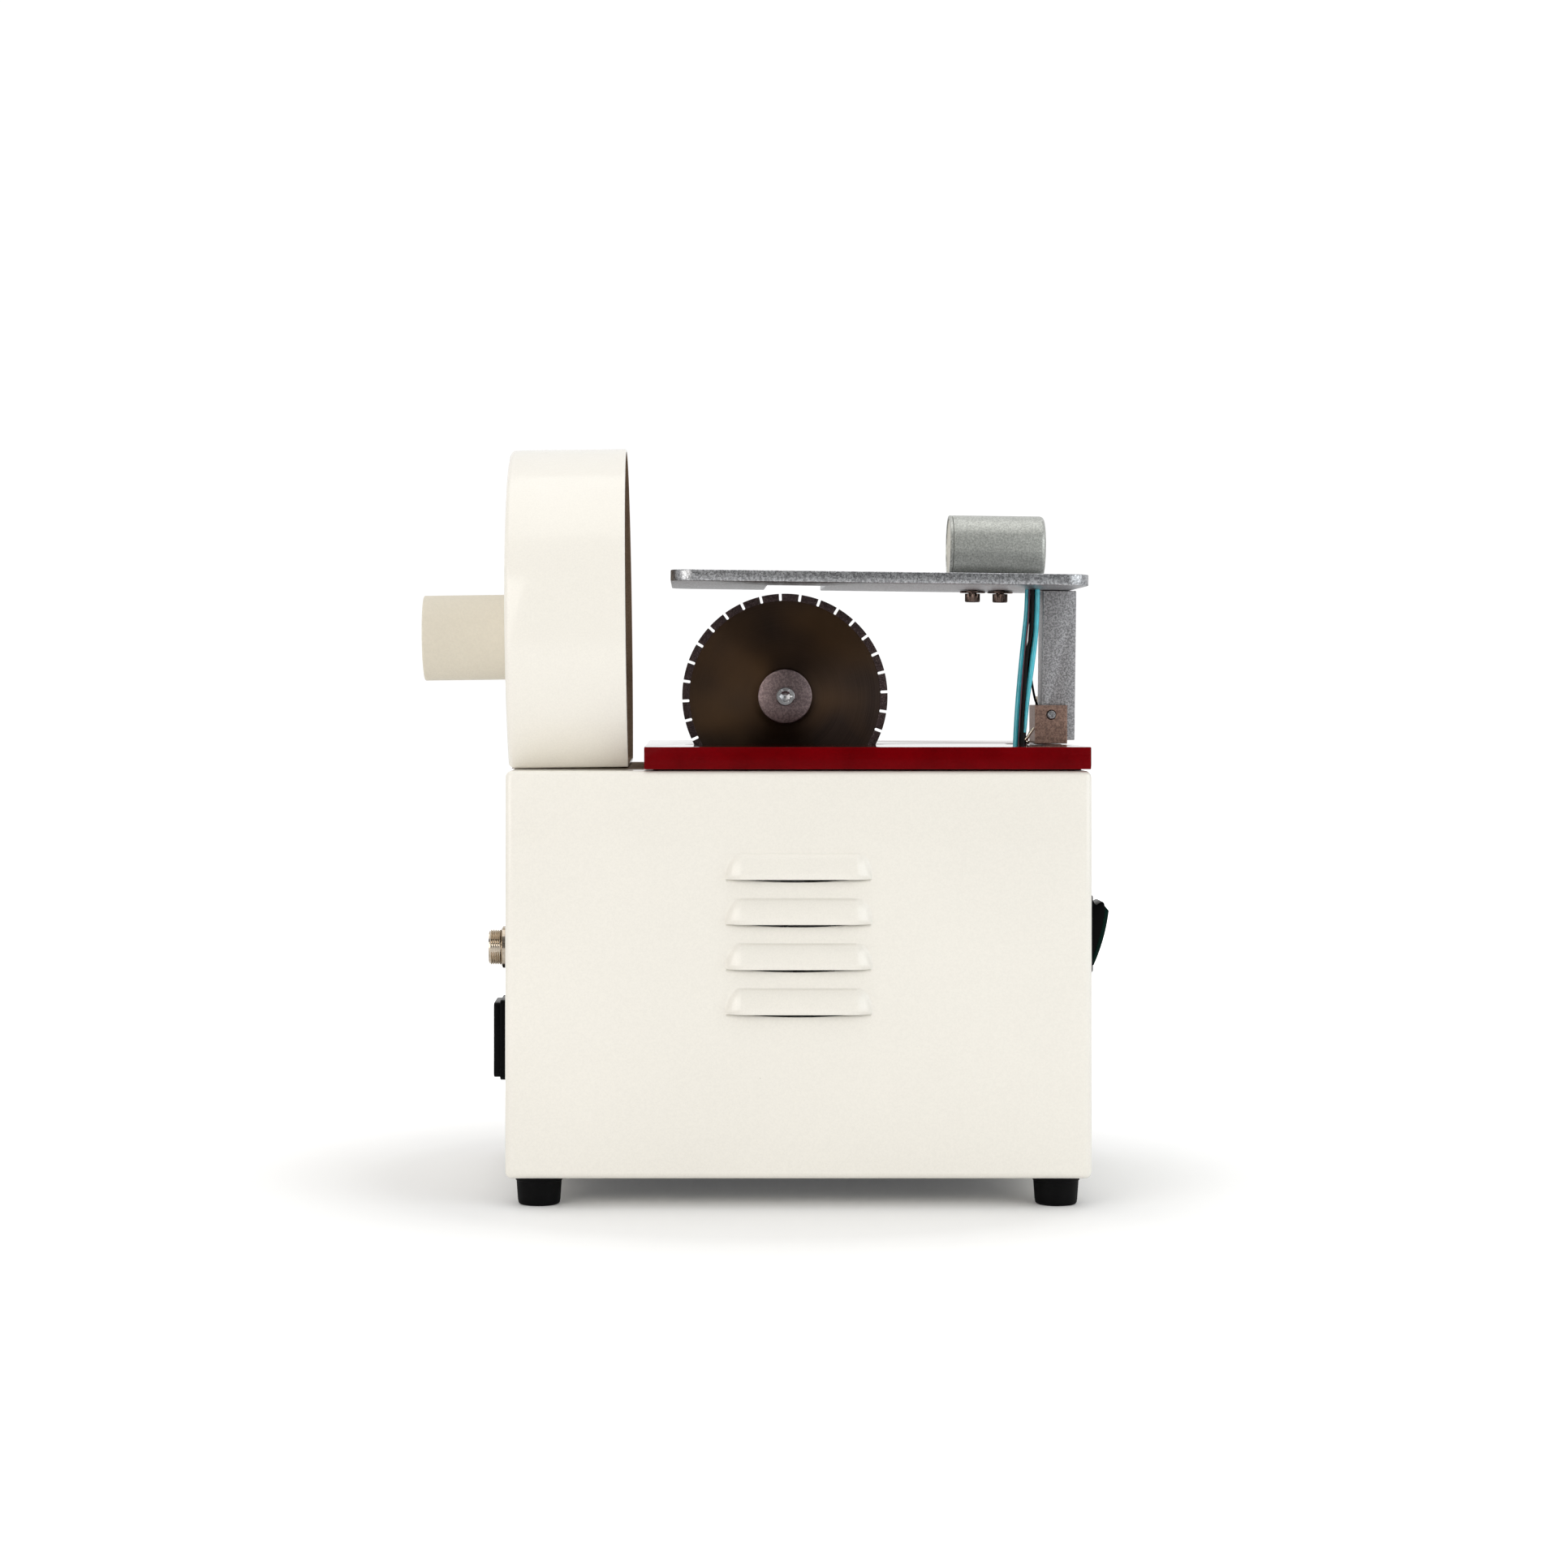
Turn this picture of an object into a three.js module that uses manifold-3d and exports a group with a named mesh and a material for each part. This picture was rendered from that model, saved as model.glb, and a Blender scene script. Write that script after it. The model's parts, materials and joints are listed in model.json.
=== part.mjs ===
// A small dry bench disc saw: a sheet-metal cabinet with a table plate, a segmented disc on a belt-driven
// arbor, a dust hood behind the disc, and a hinged guard arm over it that carries a lamp.
// Millimetres, +Z up. +X is the switch side and -X the hood side; the disc turns about an axis along Y.
// Dimensions are counted from the cabinet's middle and the bottom of its feet. The finished group is moved
// along X, so that its origin is at the bottom centre of the whole machine's box.
import * as THREE from 'three';
import { mergeVertices } from 'three/addons/utils/BufferGeometryUtils.js';
import Module from 'manifold-3d';

const wasm = await Module();
wasm.setup();

// ---------------------------------------------------------------- driving dimensions

const GAP = 0.3; // clearance between neighbouring pieces
const BEYOND = 1; // how far a cutting tool reaches past the piece it cuts
const LEAN = THREE.MathUtils.degToRad( 0.72 ); // the arm and the hood both stand this far off square

const CABINET = { halfX: 130, halfY: 95, bottom: 13, top: 193.7, sheet: 1.5, edge: 3 };
const FLANGE_WIDTH = 28; // the shell's inward fold along its bottom
const FOOT = { x: 115.5, y: 79.5, bottomRadius: 9.3, topRadius: 10.5, height: 12.7, bore: 2.5 };
const FOOT_RECESS = { radius: 5.2, depth: 6 };
const FOOT_SCREW = { z: [ 3, 19 ], headTop: 5.7, headRadius: 4.2, radius: 2, chamfer: 0.8 };
const FOOT_NUT = { radius: 5, height: 3 };
const BASE_PLATE_MARGIN = 2.5;
const LOUVRE = { lips: [ 145.7, 125.8, 105.9, 86 ], length: 65, height: 11.5, depth: 4, sheet: 1.2 };

const TABLE = { x: [ - 68.4, 129.6 ], halfY: 95, z: [ 194.4, 204.25 ] };
const GASKET = { z: [ 193.85, 194.25 ], inset: 4 };
const HOOD_GASKET = { z: [ 193.85, 194.05 ], halfY: 61 };
const BLADE_SLOT = { halfX: 46, halfY: 3 };
const BELT_SLOT = { halfX: 24, halfY: 8 };

const BLADE = { x: - 4.1, y: - 26, z: 226.5, radius: 47.6, bore: 5.3 };
const RIM = { teeth: 32, slotWidth: 1.25, slotDepth: 3.1, turn: THREE.MathUtils.degToRad( 2.6 ) };
const SEGMENT = { thickness: 1.6, coreThickness: 1.2, height: 3.4 };
const CLAMP = { radius: 12.5, bore: 2.8, thickness: 3, chamfer: 0.6, pilotRadius: 5 };
const ARBOR_SCREW = { headRadius: 4.3, headHeight: 5, chamfer: 0.4, radius: 2.5, socket: 2.3, reach: 9 };
const SHAFT_RADIUS = 6;
const BEARING = { radius: 14, width: 8, inset: 1 };
const HOUSING = { radius: 19, y: [ - 18, 35 ], halfWeb: 15, footHalfX: 30, footThickness: 8 };
const BOLT = { x: 24, inset: 7, hole: 2.8, radius: 2.4, headRadius: 4.2, headHeight: 5, socket: 2.1 };

const BELT = { y: [ 45, 55 ], thickness: 2 };
const PULLEY = { y: [ 44, 56 ], arborRadius: 16, motorRadius: 20, rim: 2, rimWidth: 0.7 };
const COVER = { halfX: 23, y: [ 38, 60 ], sheet: 1.5 };
const MOTOR = { z: 100, radius: 40, wall: 4, y: [ - 78, 22 ], shaftRadius: 5, bossRadius: 12 };
const BELL = { rim: 6, face: 9, boss: 14 }; // how far each part of the motor's front bell reaches
const BRACKET = { thickness: 3, footLength: 60 };
const TROUGH = { halfX: 52, halfY: 11, depth: 22, sheet: 1 };
const SUPPLY = { x: [ 50, 112 ], y: [ - 58, 40 ], height: 34 };
const BOARD = { x: [ - 112, - 56 ], y: [ - 10, 68 ], thickness: 1.6, raised: 8, sunk: 0.5 };

const HOOD = { halfX: 27, x: - 103, axisZ: 254.7, radius: 87.8, bottom: 194.4, sheet: 1.5 };
const PORT = { radius: 20, bore: 18.5, end: - 172.24, inside: 4 };

const PIN = { x: 119.6, z: 217.9, radius: 2, y: [ - 24.6, 9 ] };
const CLEVIS = { x: [ 112, 127 ], y: [ - 24, 1.5 ], top: 222.4 };
const CLEVIS_WALL = { back: 1.3, floor: 1.4, floorLength: 6.5 };
const SPRING = { coilRadius: 3.4, turns: 3, pitch: 1.5, wire: 0.5 };
const POST = { x: [ 115.5, 130.9 ], y: [ - 21, - 1.5 ], bottom: 206.3 };
const PLATE = { x: [ - 57.5, 129.2 ], y: [ - 90, 36.5 ], z: [ 276, 281 ], corner: 10 };
const NOTCH = { x: [ - 13, 14 ], y: - 36.5 };
const LAMP = { x: [ 72.8, 117.7 ], y: 2.6, radius: 15, edge: 2, cap: 3, capHole: 1 };
const LAMP_SCREW = { x: [ 84.6, 97.6 ], hole: 2.3, radius: 2, headRadius: 3.5, headHeight: 4, socket: 1.6 };
const WASHER = { radius: 6, thickness: 1 };
const CABLE_SLOT = { x: [ 99.5, 111 ], y: [ - 26, - 6 ], corner: 5 };
const CABLE_POCKET = { x: [ 108.6, 115.2 ], y: [ - 24, - 6 ], depth: 2.5 };
const GROMMET_WALL = 1.2;
const TUBE_RADIUS = 1.6;
const CABLE_RADIUS = 1.5;
const CABLE_Z = [ 196, 222, 278.2 ]; // the foot, the bend and the top of each tube and cable

const ROCKER = { x: 129, y: [ - 78.4, - 57.6 ], z: 120.5, tilt: 15.5 };
const BEZEL = { halfZ: 18, y: [ - 81.5, - 54.5 ], thickness: 1.8, rim: 1.6 };
const SWITCH_DEPTH = { tank: 22, cavity: 18 };
const CONNECTOR = { y: - 76, z: 114.3, threadRadius: 8, reach: 8, turns: 5, pitch: 1, bore: 6.4 };
const CONNECTOR_NUT = { radius: 9.4, thickness: 2.2 };
const INLET = { y: - 60, z: 72.3, halfZ: 18, halfY: 15, flange: 3, front: 2.9 };
const INLET_CASE = { halfY: 13.4, halfZ: 16, depth: 20 };
const SOCKET = { halfY: 12.2, low: - 4, high: 13, corner: 4, depth: 11 };
const FUSE_DRAWER = { halfY: 11, low: - 14, high: - 6, depth: 14 };

// ---------------------------------------------------------------- solids from three.js geometry

function toSolid( geometry ) {

	const bare = geometry.clone();
	bare.deleteAttribute( 'normal' );
	bare.deleteAttribute( 'uv' );
	const merged = mergeVertices( bare, 1e-4 );
	return new wasm.Manifold( new wasm.Mesh( {
		numProp: 3,
		vertProperties: merged.getAttribute( 'position' ).array,
		triVerts: new Uint32Array( merged.index.array ),
	} ) );

}

function toGeometry( solid ) {

	const made = solid.getMesh();
	const geometry = new THREE.BufferGeometry();
	geometry.setAttribute( 'position', new THREE.BufferAttribute( made.vertProperties, 3 ) );
	geometry.setIndex( new THREE.BufferAttribute( made.triVerts, 1 ) );
	geometry.computeVertexNormals();
	return geometry;

}

// Turns geometry built along +Y so that it runs along the named axis.
function alongAxis( geometry, axis ) {

	if ( axis === 'x' ) return geometry.rotateZ( - Math.PI / 2 );
	if ( axis === 'z' ) return geometry.rotateX( Math.PI / 2 );
	return geometry;

}

// Moves geometry on an axis to its centre line, which is given by the two other coordinates in order.
function ontoLine( geometry, axis, [ first, second ] ) {

	if ( axis === 'x' ) return geometry.translate( 0, first, second );
	if ( axis === 'y' ) return geometry.translate( first, 0, second );
	return geometry.translate( first, second, 0 );

}

const middle = ( [ low, high ] ) => ( low + high ) / 2;
const length = ( [ low, high ] ) => high - low;
const around = ( centre, half ) => [ centre - half, centre + half ];

function block( x, y, z ) {

	const box = new THREE.BoxGeometry( length( x ), length( y ), length( z ) );
	return toSolid( box.translate( middle( x ), middle( y ), middle( z ) ) );

}

function rod( axis, radius, span, line, segments = 20 ) {

	const cylinder = new THREE.CylinderGeometry( radius, radius, length( span ), segments );
	cylinder.translate( 0, middle( span ), 0 );
	return toSolid( ontoLine( alongAxis( cylinder, axis ), axis, line ) );

}

// A turned piece: the profile lists [radius, position along the axis], anticlockwise, and is closed here
// unless it starts and ends on the axis.
function turned( axis, line, profile, segments = 20 ) {

	const points = profile.map( ( [ radius, along ] ) => new THREE.Vector2( radius, along ) );
	if ( points[ 0 ].x > 0 ) points.push( points[ 0 ].clone() );
	const lathe = new THREE.LatheGeometry( points, segments );
	return toSolid( ontoLine( alongAxis( lathe, axis ), axis, line ) );

}

const ring = ( axis, inner, outer, [ low, high ], line, segments = 20 ) => turned( axis, line,
	[[ inner, low ], [ outer, low ], [ outer, high ], [ inner, high ]], segments );

// Extrudes a shape along an axis. The shape's own x and y are the two other coordinates, in order.
function prism( axis, shape, [ low, high ], options = {} ) {

	const { bevel = 0, curveSegments = 6 } = options;
	const geometry = new THREE.ExtrudeGeometry( shape, {
		depth: high - low - 2 * bevel,
		bevelEnabled: bevel > 0,
		bevelSize: bevel,
		bevelOffset: - bevel,
		bevelThickness: bevel,
		bevelSegments: 2,
		curveSegments,
		steps: 1,
	} );
	geometry.translate( 0, 0, bevel );
	if ( axis === 'x' ) {

		geometry.applyMatrix4( new THREE.Matrix4().set( 0, 0, 1, low, 1, 0, 0, 0, 0, 1, 0, 0, 0, 0, 0, 1 ) );

	} else if ( axis === 'y' ) {

		geometry.rotateX( Math.PI / 2 ).translate( 0, high, 0 );

	} else {

		geometry.translate( 0, 0, low );

	}

	return toSolid( geometry );

}

function roundedRectangle( [ left, right ], [ low, high ], radius ) {

	const shape = new THREE.Shape();
	shape.moveTo( left + radius, low );
	shape.absarc( right - radius, low + radius, radius, - Math.PI / 2, 0 );
	shape.absarc( right - radius, high - radius, radius, 0, Math.PI / 2 );
	shape.absarc( left + radius, high - radius, radius, Math.PI / 2, Math.PI );
	shape.absarc( left + radius, low + radius, radius, Math.PI, Math.PI * 1.5 );
	return shape;

}

const polygon = ( points ) => new THREE.Shape( points.map( ( [ x, y ] ) => new THREE.Vector2( x, y ) ) );

const joined = ( solids ) => solids.reduce( ( whole, solid ) => whole.add( solid ) );
const cut = ( solid, tools ) => tools.reduce( ( left, tool ) => left.subtract( tool ), solid );

// ---------------------------------------------------------------- assembly and finishes

const slabSaw = new THREE.Group();

// A group whose pieces are drawn square and then turned by an angle about a Y axis through x, z.
function leaningGroup( x, z, angle ) {

	const group = new THREE.Group();
	group.position.set( x, 0, z );
	group.rotation.y = angle;
	slabSaw.add( group );
	return group;

}

const hoodGroup = leaningGroup( HOOD.x, HOOD.bottom, - LEAN );
const armGroup = leaningGroup( PIN.x, PIN.z, LEAN );

const FINISHES = {
	cream: [ 0xf1ede5, 0.45, 0 ],
	portCream: [ 0xe5e1d2, 0.6, 0 ],
	red: [ 0x600208, 0.12, 0 ],
	rubber: [ 0x0f0f10, 0.8, 0 ],
	blackPlastic: [ 0x141416, 0.35, 0 ],
	greenPlastic: [ 0x0a2a22, 0.2, 0 ],
	aluminium: [ 0x9a9da0, 0.45, 1 ],
	steel: [ 0x8a8c90, 0.35, 1 ],
	brownSteel: [ 0x786055, 0.5, 0.9 ],
	bladeSteel: [ 0x322724, 0.3, 1 ],
	darkSteel: [ 0x2b2624, 0.35, 1 ],
	nickel: [ 0xb4a898, 0.25, 1 ],
	greyPaint: [ 0xb2b2ad, 0.4, 0.3 ],
	cyan: [ 0x2fa8bf, 0.25, 0 ],
	cable: [ 0x191416, 0.5, 0 ],
	circuit: [ 0x1d5a34, 0.5, 0 ],
};

function piece( name, solid, finish, group = slabSaw ) {

	const [ color, roughness, metalness ] = FINISHES[ finish ];
	const material = new THREE.MeshStandardMaterial( { color, roughness, metalness } );
	const geometry = toGeometry( solid );
	geometry.translate( - group.position.x, - group.position.y, - group.position.z );
	const mesh = new THREE.Mesh( geometry, material );
	mesh.name = name;
	group.add( mesh );

}

// ---------------------------------------------------------------- cabinet

// The outline of the slot the cables pass through, drawn in by a margin.
const cableSlot = ( margin ) => roundedRectangle(
	[ CABLE_SLOT.x[ 0 ] + margin, CABLE_SLOT.x[ 1 ] - margin ],
	[ CABLE_SLOT.y[ 0 ] + margin, CABLE_SLOT.y[ 1 ] - margin ],
	CABLE_SLOT.corner - margin,
);

// The openings that run down through the table, its gasket and the cabinet's top.
function topOpenings( z ) {

	return [
		block( around( BLADE.x, BLADE_SLOT.halfX ), around( BLADE.y, BLADE_SLOT.halfY ), z ),
		block( around( BLADE.x, BELT_SLOT.halfX ), around( middle( BELT.y ), BELT_SLOT.halfY ), z ),
		prism( 'z', cableSlot( 0 ), z, { curveSegments: 4 } ),
	];

}

// Half of a long rounded bulge on a side panel, kept above its lip. inset thins it for the hollow behind.
function louvreBulge( side, lip, inset ) {

	const radius = 8;
	const bulge = new THREE.CapsuleGeometry( radius, LOUVRE.length - 2 * radius, 2, 8 );
	bulge.rotateZ( Math.PI / 2 );
	bulge.scale(
		1 - 2 * inset / LOUVRE.length,
		( LOUVRE.depth - inset ) / radius,
		( LOUVRE.height - inset ) / radius,
	);
	bulge.translate( 0, side * CABINET.halfY, lip );
	const above = block( around( 0, LOUVRE.length ), around( side * CABINET.halfY, 2 * LOUVRE.depth ),
		[ lip, lip + 2 * LOUVRE.height ] );
	return toSolid( bulge ).intersect( above );

}

// The louvres of both side panels. Their hollows start a little lower, so that each lip is open.
function louvres( inset ) {

	const drop = inset > 0 ? 0.01 : 0;
	return joined( [ - 1, 1 ].flatMap( ( side ) =>
		LOUVRE.lips.map( ( lip ) => louvreBulge( side, lip - drop, inset ) ) ) );

}

function roundedCase( inset ) {

	const x = around( 0, CABINET.halfX - inset );
	const z = [ CABINET.bottom + inset, CABINET.top - inset ];
	const edge = CABINET.edge - inset;
	return prism( 'y', roundedRectangle( x, z, edge ), around( 0, CABINET.halfY - inset ),
		{ bevel: edge - GAP, curveSegments: 3 } );

}

const footPlaces = [ - 1, 1 ].flatMap( ( x ) => [ - 1, 1 ].map( ( y ) => ( {
	name: ( x < 0 ? 'rear' : 'front' ) + ( y < 0 ? '_near' : '_far' ),
	at: [ x * FOOT.x, y * FOOT.y ],
} ) ) );

function addCabinet() {

	const { halfX, halfY, bottom, top, sheet } = CABINET;
	const through = [ bottom - BEYOND, bottom + 2 * FOOT_NUT.height ];
	const screwHoles = footPlaces.map( ( { at } ) => rod( 'z', FOOT.bore, through, at, 12 ) );
	const rearWall = [ - halfX - BEYOND, - halfX + 2 * sheet ];
	const frontWall = [ halfX - 2 * sheet, halfX + BEYOND ];
	const panelHoles = [
		rod( 'x', CONNECTOR.threadRadius + GAP, rearWall, [ CONNECTOR.y, CONNECTOR.z ] ),
		block( rearWall, around( INLET.y, INLET_CASE.halfY + 0.4 ), around( INLET.z, INLET_CASE.halfZ + GAP ) ),
		block( frontWall, around( middle( BEZEL.y ), length( BEZEL.y ) / 2 - BEZEL.rim - 0.1 ),
			around( ROCKER.z, BEZEL.halfZ - BEYOND ) ),
	];
	const bottomOpening = block( around( 0, halfX - FLANGE_WIDTH ), around( 0, halfY - FLANGE_WIDTH ),
		[ bottom - BEYOND, bottom + 2 * sheet ] );
	const shell = roundedCase( 0 ).add( louvres( 0 ) );
	piece( 'cabinet_shell', cut( shell, [
		roundedCase( sheet ), louvres( LOUVRE.sheet ), bottomOpening,
		...screwHoles, ...panelHoles, ...topOpenings( [ top - 2 * sheet, top + BEYOND ] ),
	] ), 'cream' );

	const plateZ = [ bottom + sheet + GAP, bottom + 2 * sheet + GAP ];
	const basePlate = block( around( 0, halfX - BASE_PLATE_MARGIN ), around( 0, halfY - BASE_PLATE_MARGIN ),
		plateZ );
	const nutZ = [ plateZ[ 0 ], plateZ[ 1 ] + FOOT_NUT.height ];
	const nuts = footPlaces.map( ( { at } ) => rod( 'z', FOOT_NUT.radius, nutZ, at, 6 ) );
	piece( 'base_plate', cut( joined( [ basePlate, ...nuts ] ), screwHoles ), 'steel' );

	for ( const { name, at } of footPlaces ) {

		const { bottomRadius, topRadius, height, bore } = FOOT;
		const { radius: recess, depth } = FOOT_RECESS;
		piece( 'foot_' + name, turned( 'z', at, [
			[ bore, depth ], [ recess, depth ], [ recess, 0 ], [ bottomRadius, 0 ], [ topRadius, height ],
			[ bore, height ],
		], 16 ), 'rubber' );
		const { z: [ start, end ], headTop, headRadius, radius, chamfer } = FOOT_SCREW;
		piece( 'foot_screw_' + name, turned( 'z', at, [
			[ 0, start ], [ headRadius - chamfer, start ], [ headRadius, start + chamfer ], [ headRadius, headTop ],
			[ radius, headTop ], [ radius, end ], [ 0, end ],
		], 8 ), 'steel' );

	}

}

// ---------------------------------------------------------------- table

function addTable() {

	const { x, halfY, z } = TABLE;
	const openings = topOpenings( [ GASKET.z[ 0 ] - BEYOND, z[ 1 ] + BEYOND ] );
	const slab = prism( 'y', roundedRectangle( x, z, 0.6 ), around( 0, halfY ),
		{ bevel: 0.4, curveSegments: 1 } );
	piece( 'worktable', cut( slab, openings ), 'red' );

	const { inset } = GASKET;
	const gasket = block( [ x[ 0 ] + inset, x[ 1 ] - inset ], around( 0, halfY - inset ), GASKET.z );
	piece( 'table_gasket', cut( gasket, openings ), 'rubber' );

	const grommetZ = [ z[ 0 ] + GAP, z[ 1 ] - GAP ];
	const passageZ = [ z[ 0 ] - BEYOND, z[ 1 ] + BEYOND ];
	const grommet = prism( 'z', cableSlot( GAP ), grommetZ, { curveSegments: 4 } );
	const passage = prism( 'z', cableSlot( GAP + GROMMET_WALL ), passageZ, { curveSegments: 4 } );
	piece( 'cable_grommet', grommet.subtract( passage ), 'rubber' );

}

// ---------------------------------------------------------------- dust hood

// The drum's outline seen from the front, cut flat at its bottom. margin shrinks it for the hollow.
function drumOutline( margin ) {

	const radius = HOOD.radius - margin;
	const drop = HOOD.axisZ - HOOD.bottom - margin;
	const angle = Math.asin( drop / radius );
	const outline = new THREE.Shape();
	outline.absarc( 0, HOOD.axisZ, radius, - angle, Math.PI + angle );
	return outline;

}

function addHood() {

	const { x, halfX, sheet, axisZ, bottom, radius } = HOOD;
	const rear = x - halfX;
	const front = x + halfX;
	const options = { bevel: 2.5, curveSegments: 16 };
	const drum = prism( 'x', drumOutline( 0 ), [ rear, front + 6 ], options );
	const hollow = prism( 'x', drumOutline( sheet ), [ rear + sheet, front + 8 ], { curveSegments: 16 } );
	const beyondMouth = block( [ front, front + halfX ], around( 0, radius + BEYOND ),
		[ bottom - BEYOND, axisZ + radius + BEYOND ] );
	const portHole = rod( 'x', PORT.radius + GAP, [ rear - BEYOND, rear + 2 * sheet ], [ 0, axisZ ], 32 );
	piece( 'dust_hood', cut( drum, [ hollow, beyondMouth, portHole ] ), 'cream', hoodGroup );
	piece( 'dust_port', ring( 'x', PORT.bore, PORT.radius, [ PORT.end, rear + PORT.inside ], [ 0, axisZ ], 32 ),
		'portCream', hoodGroup );
	piece( 'hood_gasket', block( [ rear + 1, TABLE.x[ 0 ] - GAP ], around( 0, HOOD_GASKET.halfY ),
		HOOD_GASKET.z ), 'rubber' );

}

// ---------------------------------------------------------------- blade and arbor

// The blade's rim: each tooth is a short arc at full radius, and each slot is a straight notch between two.
function bladeOutline() {

	const { teeth, slotWidth, slotDepth, turn } = RIM;
	const { radius } = BLADE;
	const floor = radius - slotDepth;
	const step = 2 * Math.PI / teeth;
	const at = ( r, angle ) => [ r * Math.cos( angle + turn ), r * Math.sin( angle + turn ) ];
	const outline = new THREE.Shape();
	for ( let tooth = 0; tooth < teeth; tooth ++ ) {

		const start = tooth * step + slotWidth / 2 / radius;
		const end = ( tooth + 1 ) * step - slotWidth / 2 / radius;
		const wallStart = tooth * step + slotWidth / 2 / floor;
		const wallEnd = ( tooth + 1 ) * step - slotWidth / 2 / floor;
		if ( tooth === 0 ) outline.moveTo( ...at( floor, wallStart ) );
		else outline.lineTo( ...at( floor, wallStart ) );
		outline.lineTo( ...at( radius, start ) );
		outline.lineTo( ...at( radius, ( start + end ) / 2 ) );
		outline.lineTo( ...at( radius, end ) );
		outline.lineTo( ...at( floor, wallEnd ) );

	}

	return outline;

}

function addArbor() {

	const line = [ BLADE.x, BLADE.z ];
	const { thickness, coreThickness, height } = SEGMENT;
	const core = around( BLADE.y, coreThickness / 2 );
	const rim = around( BLADE.y, thickness / 2 );
	const disc = toSolid( new THREE.ExtrudeGeometry( bladeOutline(),
		{ depth: thickness, bevelEnabled: false, steps: 1 } )
		.rotateX( Math.PI / 2 ).translate( BLADE.x, rim[ 1 ], BLADE.z ) );
	const recessRadius = BLADE.radius - height;
	piece( 'saw_blade', cut( disc, [
		rod( 'y', recessRadius, [ rim[ 0 ] - BEYOND, core[ 0 ] ], line, 32 ),
		rod( 'y', recessRadius, [ core[ 1 ], rim[ 1 ] + BEYOND ], line, 32 ),
		rod( 'y', BLADE.bore, [ rim[ 0 ] - BEYOND, rim[ 1 ] + BEYOND ], line, 16 ),
	] ), 'bladeSteel' );

	const { radius, bore, thickness: clampThickness, chamfer, pilotRadius } = CLAMP;
	const clampFront = [ core[ 0 ] - GAP - clampThickness, core[ 0 ] - GAP ];
	const clampRear = [ core[ 1 ] + GAP, core[ 1 ] + GAP + clampThickness ];
	const pilotFront = core[ 0 ] + 0.1;
	piece( 'front_flange', turned( 'y', line, [
		[ bore, clampFront[ 0 ] ], [ radius - chamfer, clampFront[ 0 ] ], [ radius, clampFront[ 0 ] + chamfer ],
		[ radius, clampFront[ 1 ] ], [ bore, clampFront[ 1 ] ],
	], 24 ), 'aluminium' );
	piece( 'rear_flange', turned( 'y', line, [
		[ bore, pilotFront ], [ pilotRadius, pilotFront ], [ pilotRadius, clampRear[ 0 ] ],
		[ radius, clampRear[ 0 ] ], [ radius, clampRear[ 1 ] ], [ bore, clampRear[ 1 ] ],
	], 24 ), 'aluminium' );

	const headBack = clampFront[ 0 ] - GAP;
	const headFront = headBack - ARBOR_SCREW.headHeight;
	const screwEnd = clampRear[ 1 ] + ARBOR_SCREW.reach;
	const screw = turned( 'y', line, [
		[ 0, headFront ], [ ARBOR_SCREW.headRadius - ARBOR_SCREW.chamfer, headFront ],
		[ ARBOR_SCREW.headRadius, headFront + ARBOR_SCREW.chamfer ], [ ARBOR_SCREW.headRadius, headBack ],
		[ ARBOR_SCREW.radius, headBack ], [ ARBOR_SCREW.radius, screwEnd ], [ 0, screwEnd ],
	], 16 );
	const socketY = [ headFront - BEYOND, middle( [ headFront, headBack ] ) ];
	const socket = rod( 'y', ARBOR_SCREW.socket, socketY, line, 6 );
	piece( 'arbor_screw', screw.subtract( socket ), 'steel' );

	const shaftFront = clampRear[ 1 ] + GAP;
	const shaft = rod( 'y', SHAFT_RADIUS, [ shaftFront, PULLEY.y[ 1 ] + 1 ], line );
	const screwHole = rod( 'y', bore, [ shaftFront - BEYOND, screwEnd + 1 ], line );
	piece( 'arbor_shaft', shaft.subtract( screwHole ), 'steel' );

	addPulley( 'arbor_pulley', PULLEY.arborRadius, SHAFT_RADIUS, line );

}

// A flat belt pulley with a low rim at each side.
function addPulley( name, radius, shaftRadius, line ) {

	const [ front, back ] = PULLEY.y;
	const bore = shaftRadius + GAP;
	const outer = radius + PULLEY.rim;
	const seat = [ front + PULLEY.rimWidth, back - PULLEY.rimWidth ];
	piece( name, turned( 'y', line, [
		[ bore, front ], [ outer, front ], [ outer, seat[ 0 ] ], [ radius, seat[ 0 ] ],
		[ radius, seat[ 1 ] ], [ outer, seat[ 1 ] ], [ outer, back ], [ bore, back ],
	], 20 ), 'aluminium' );

}

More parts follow.
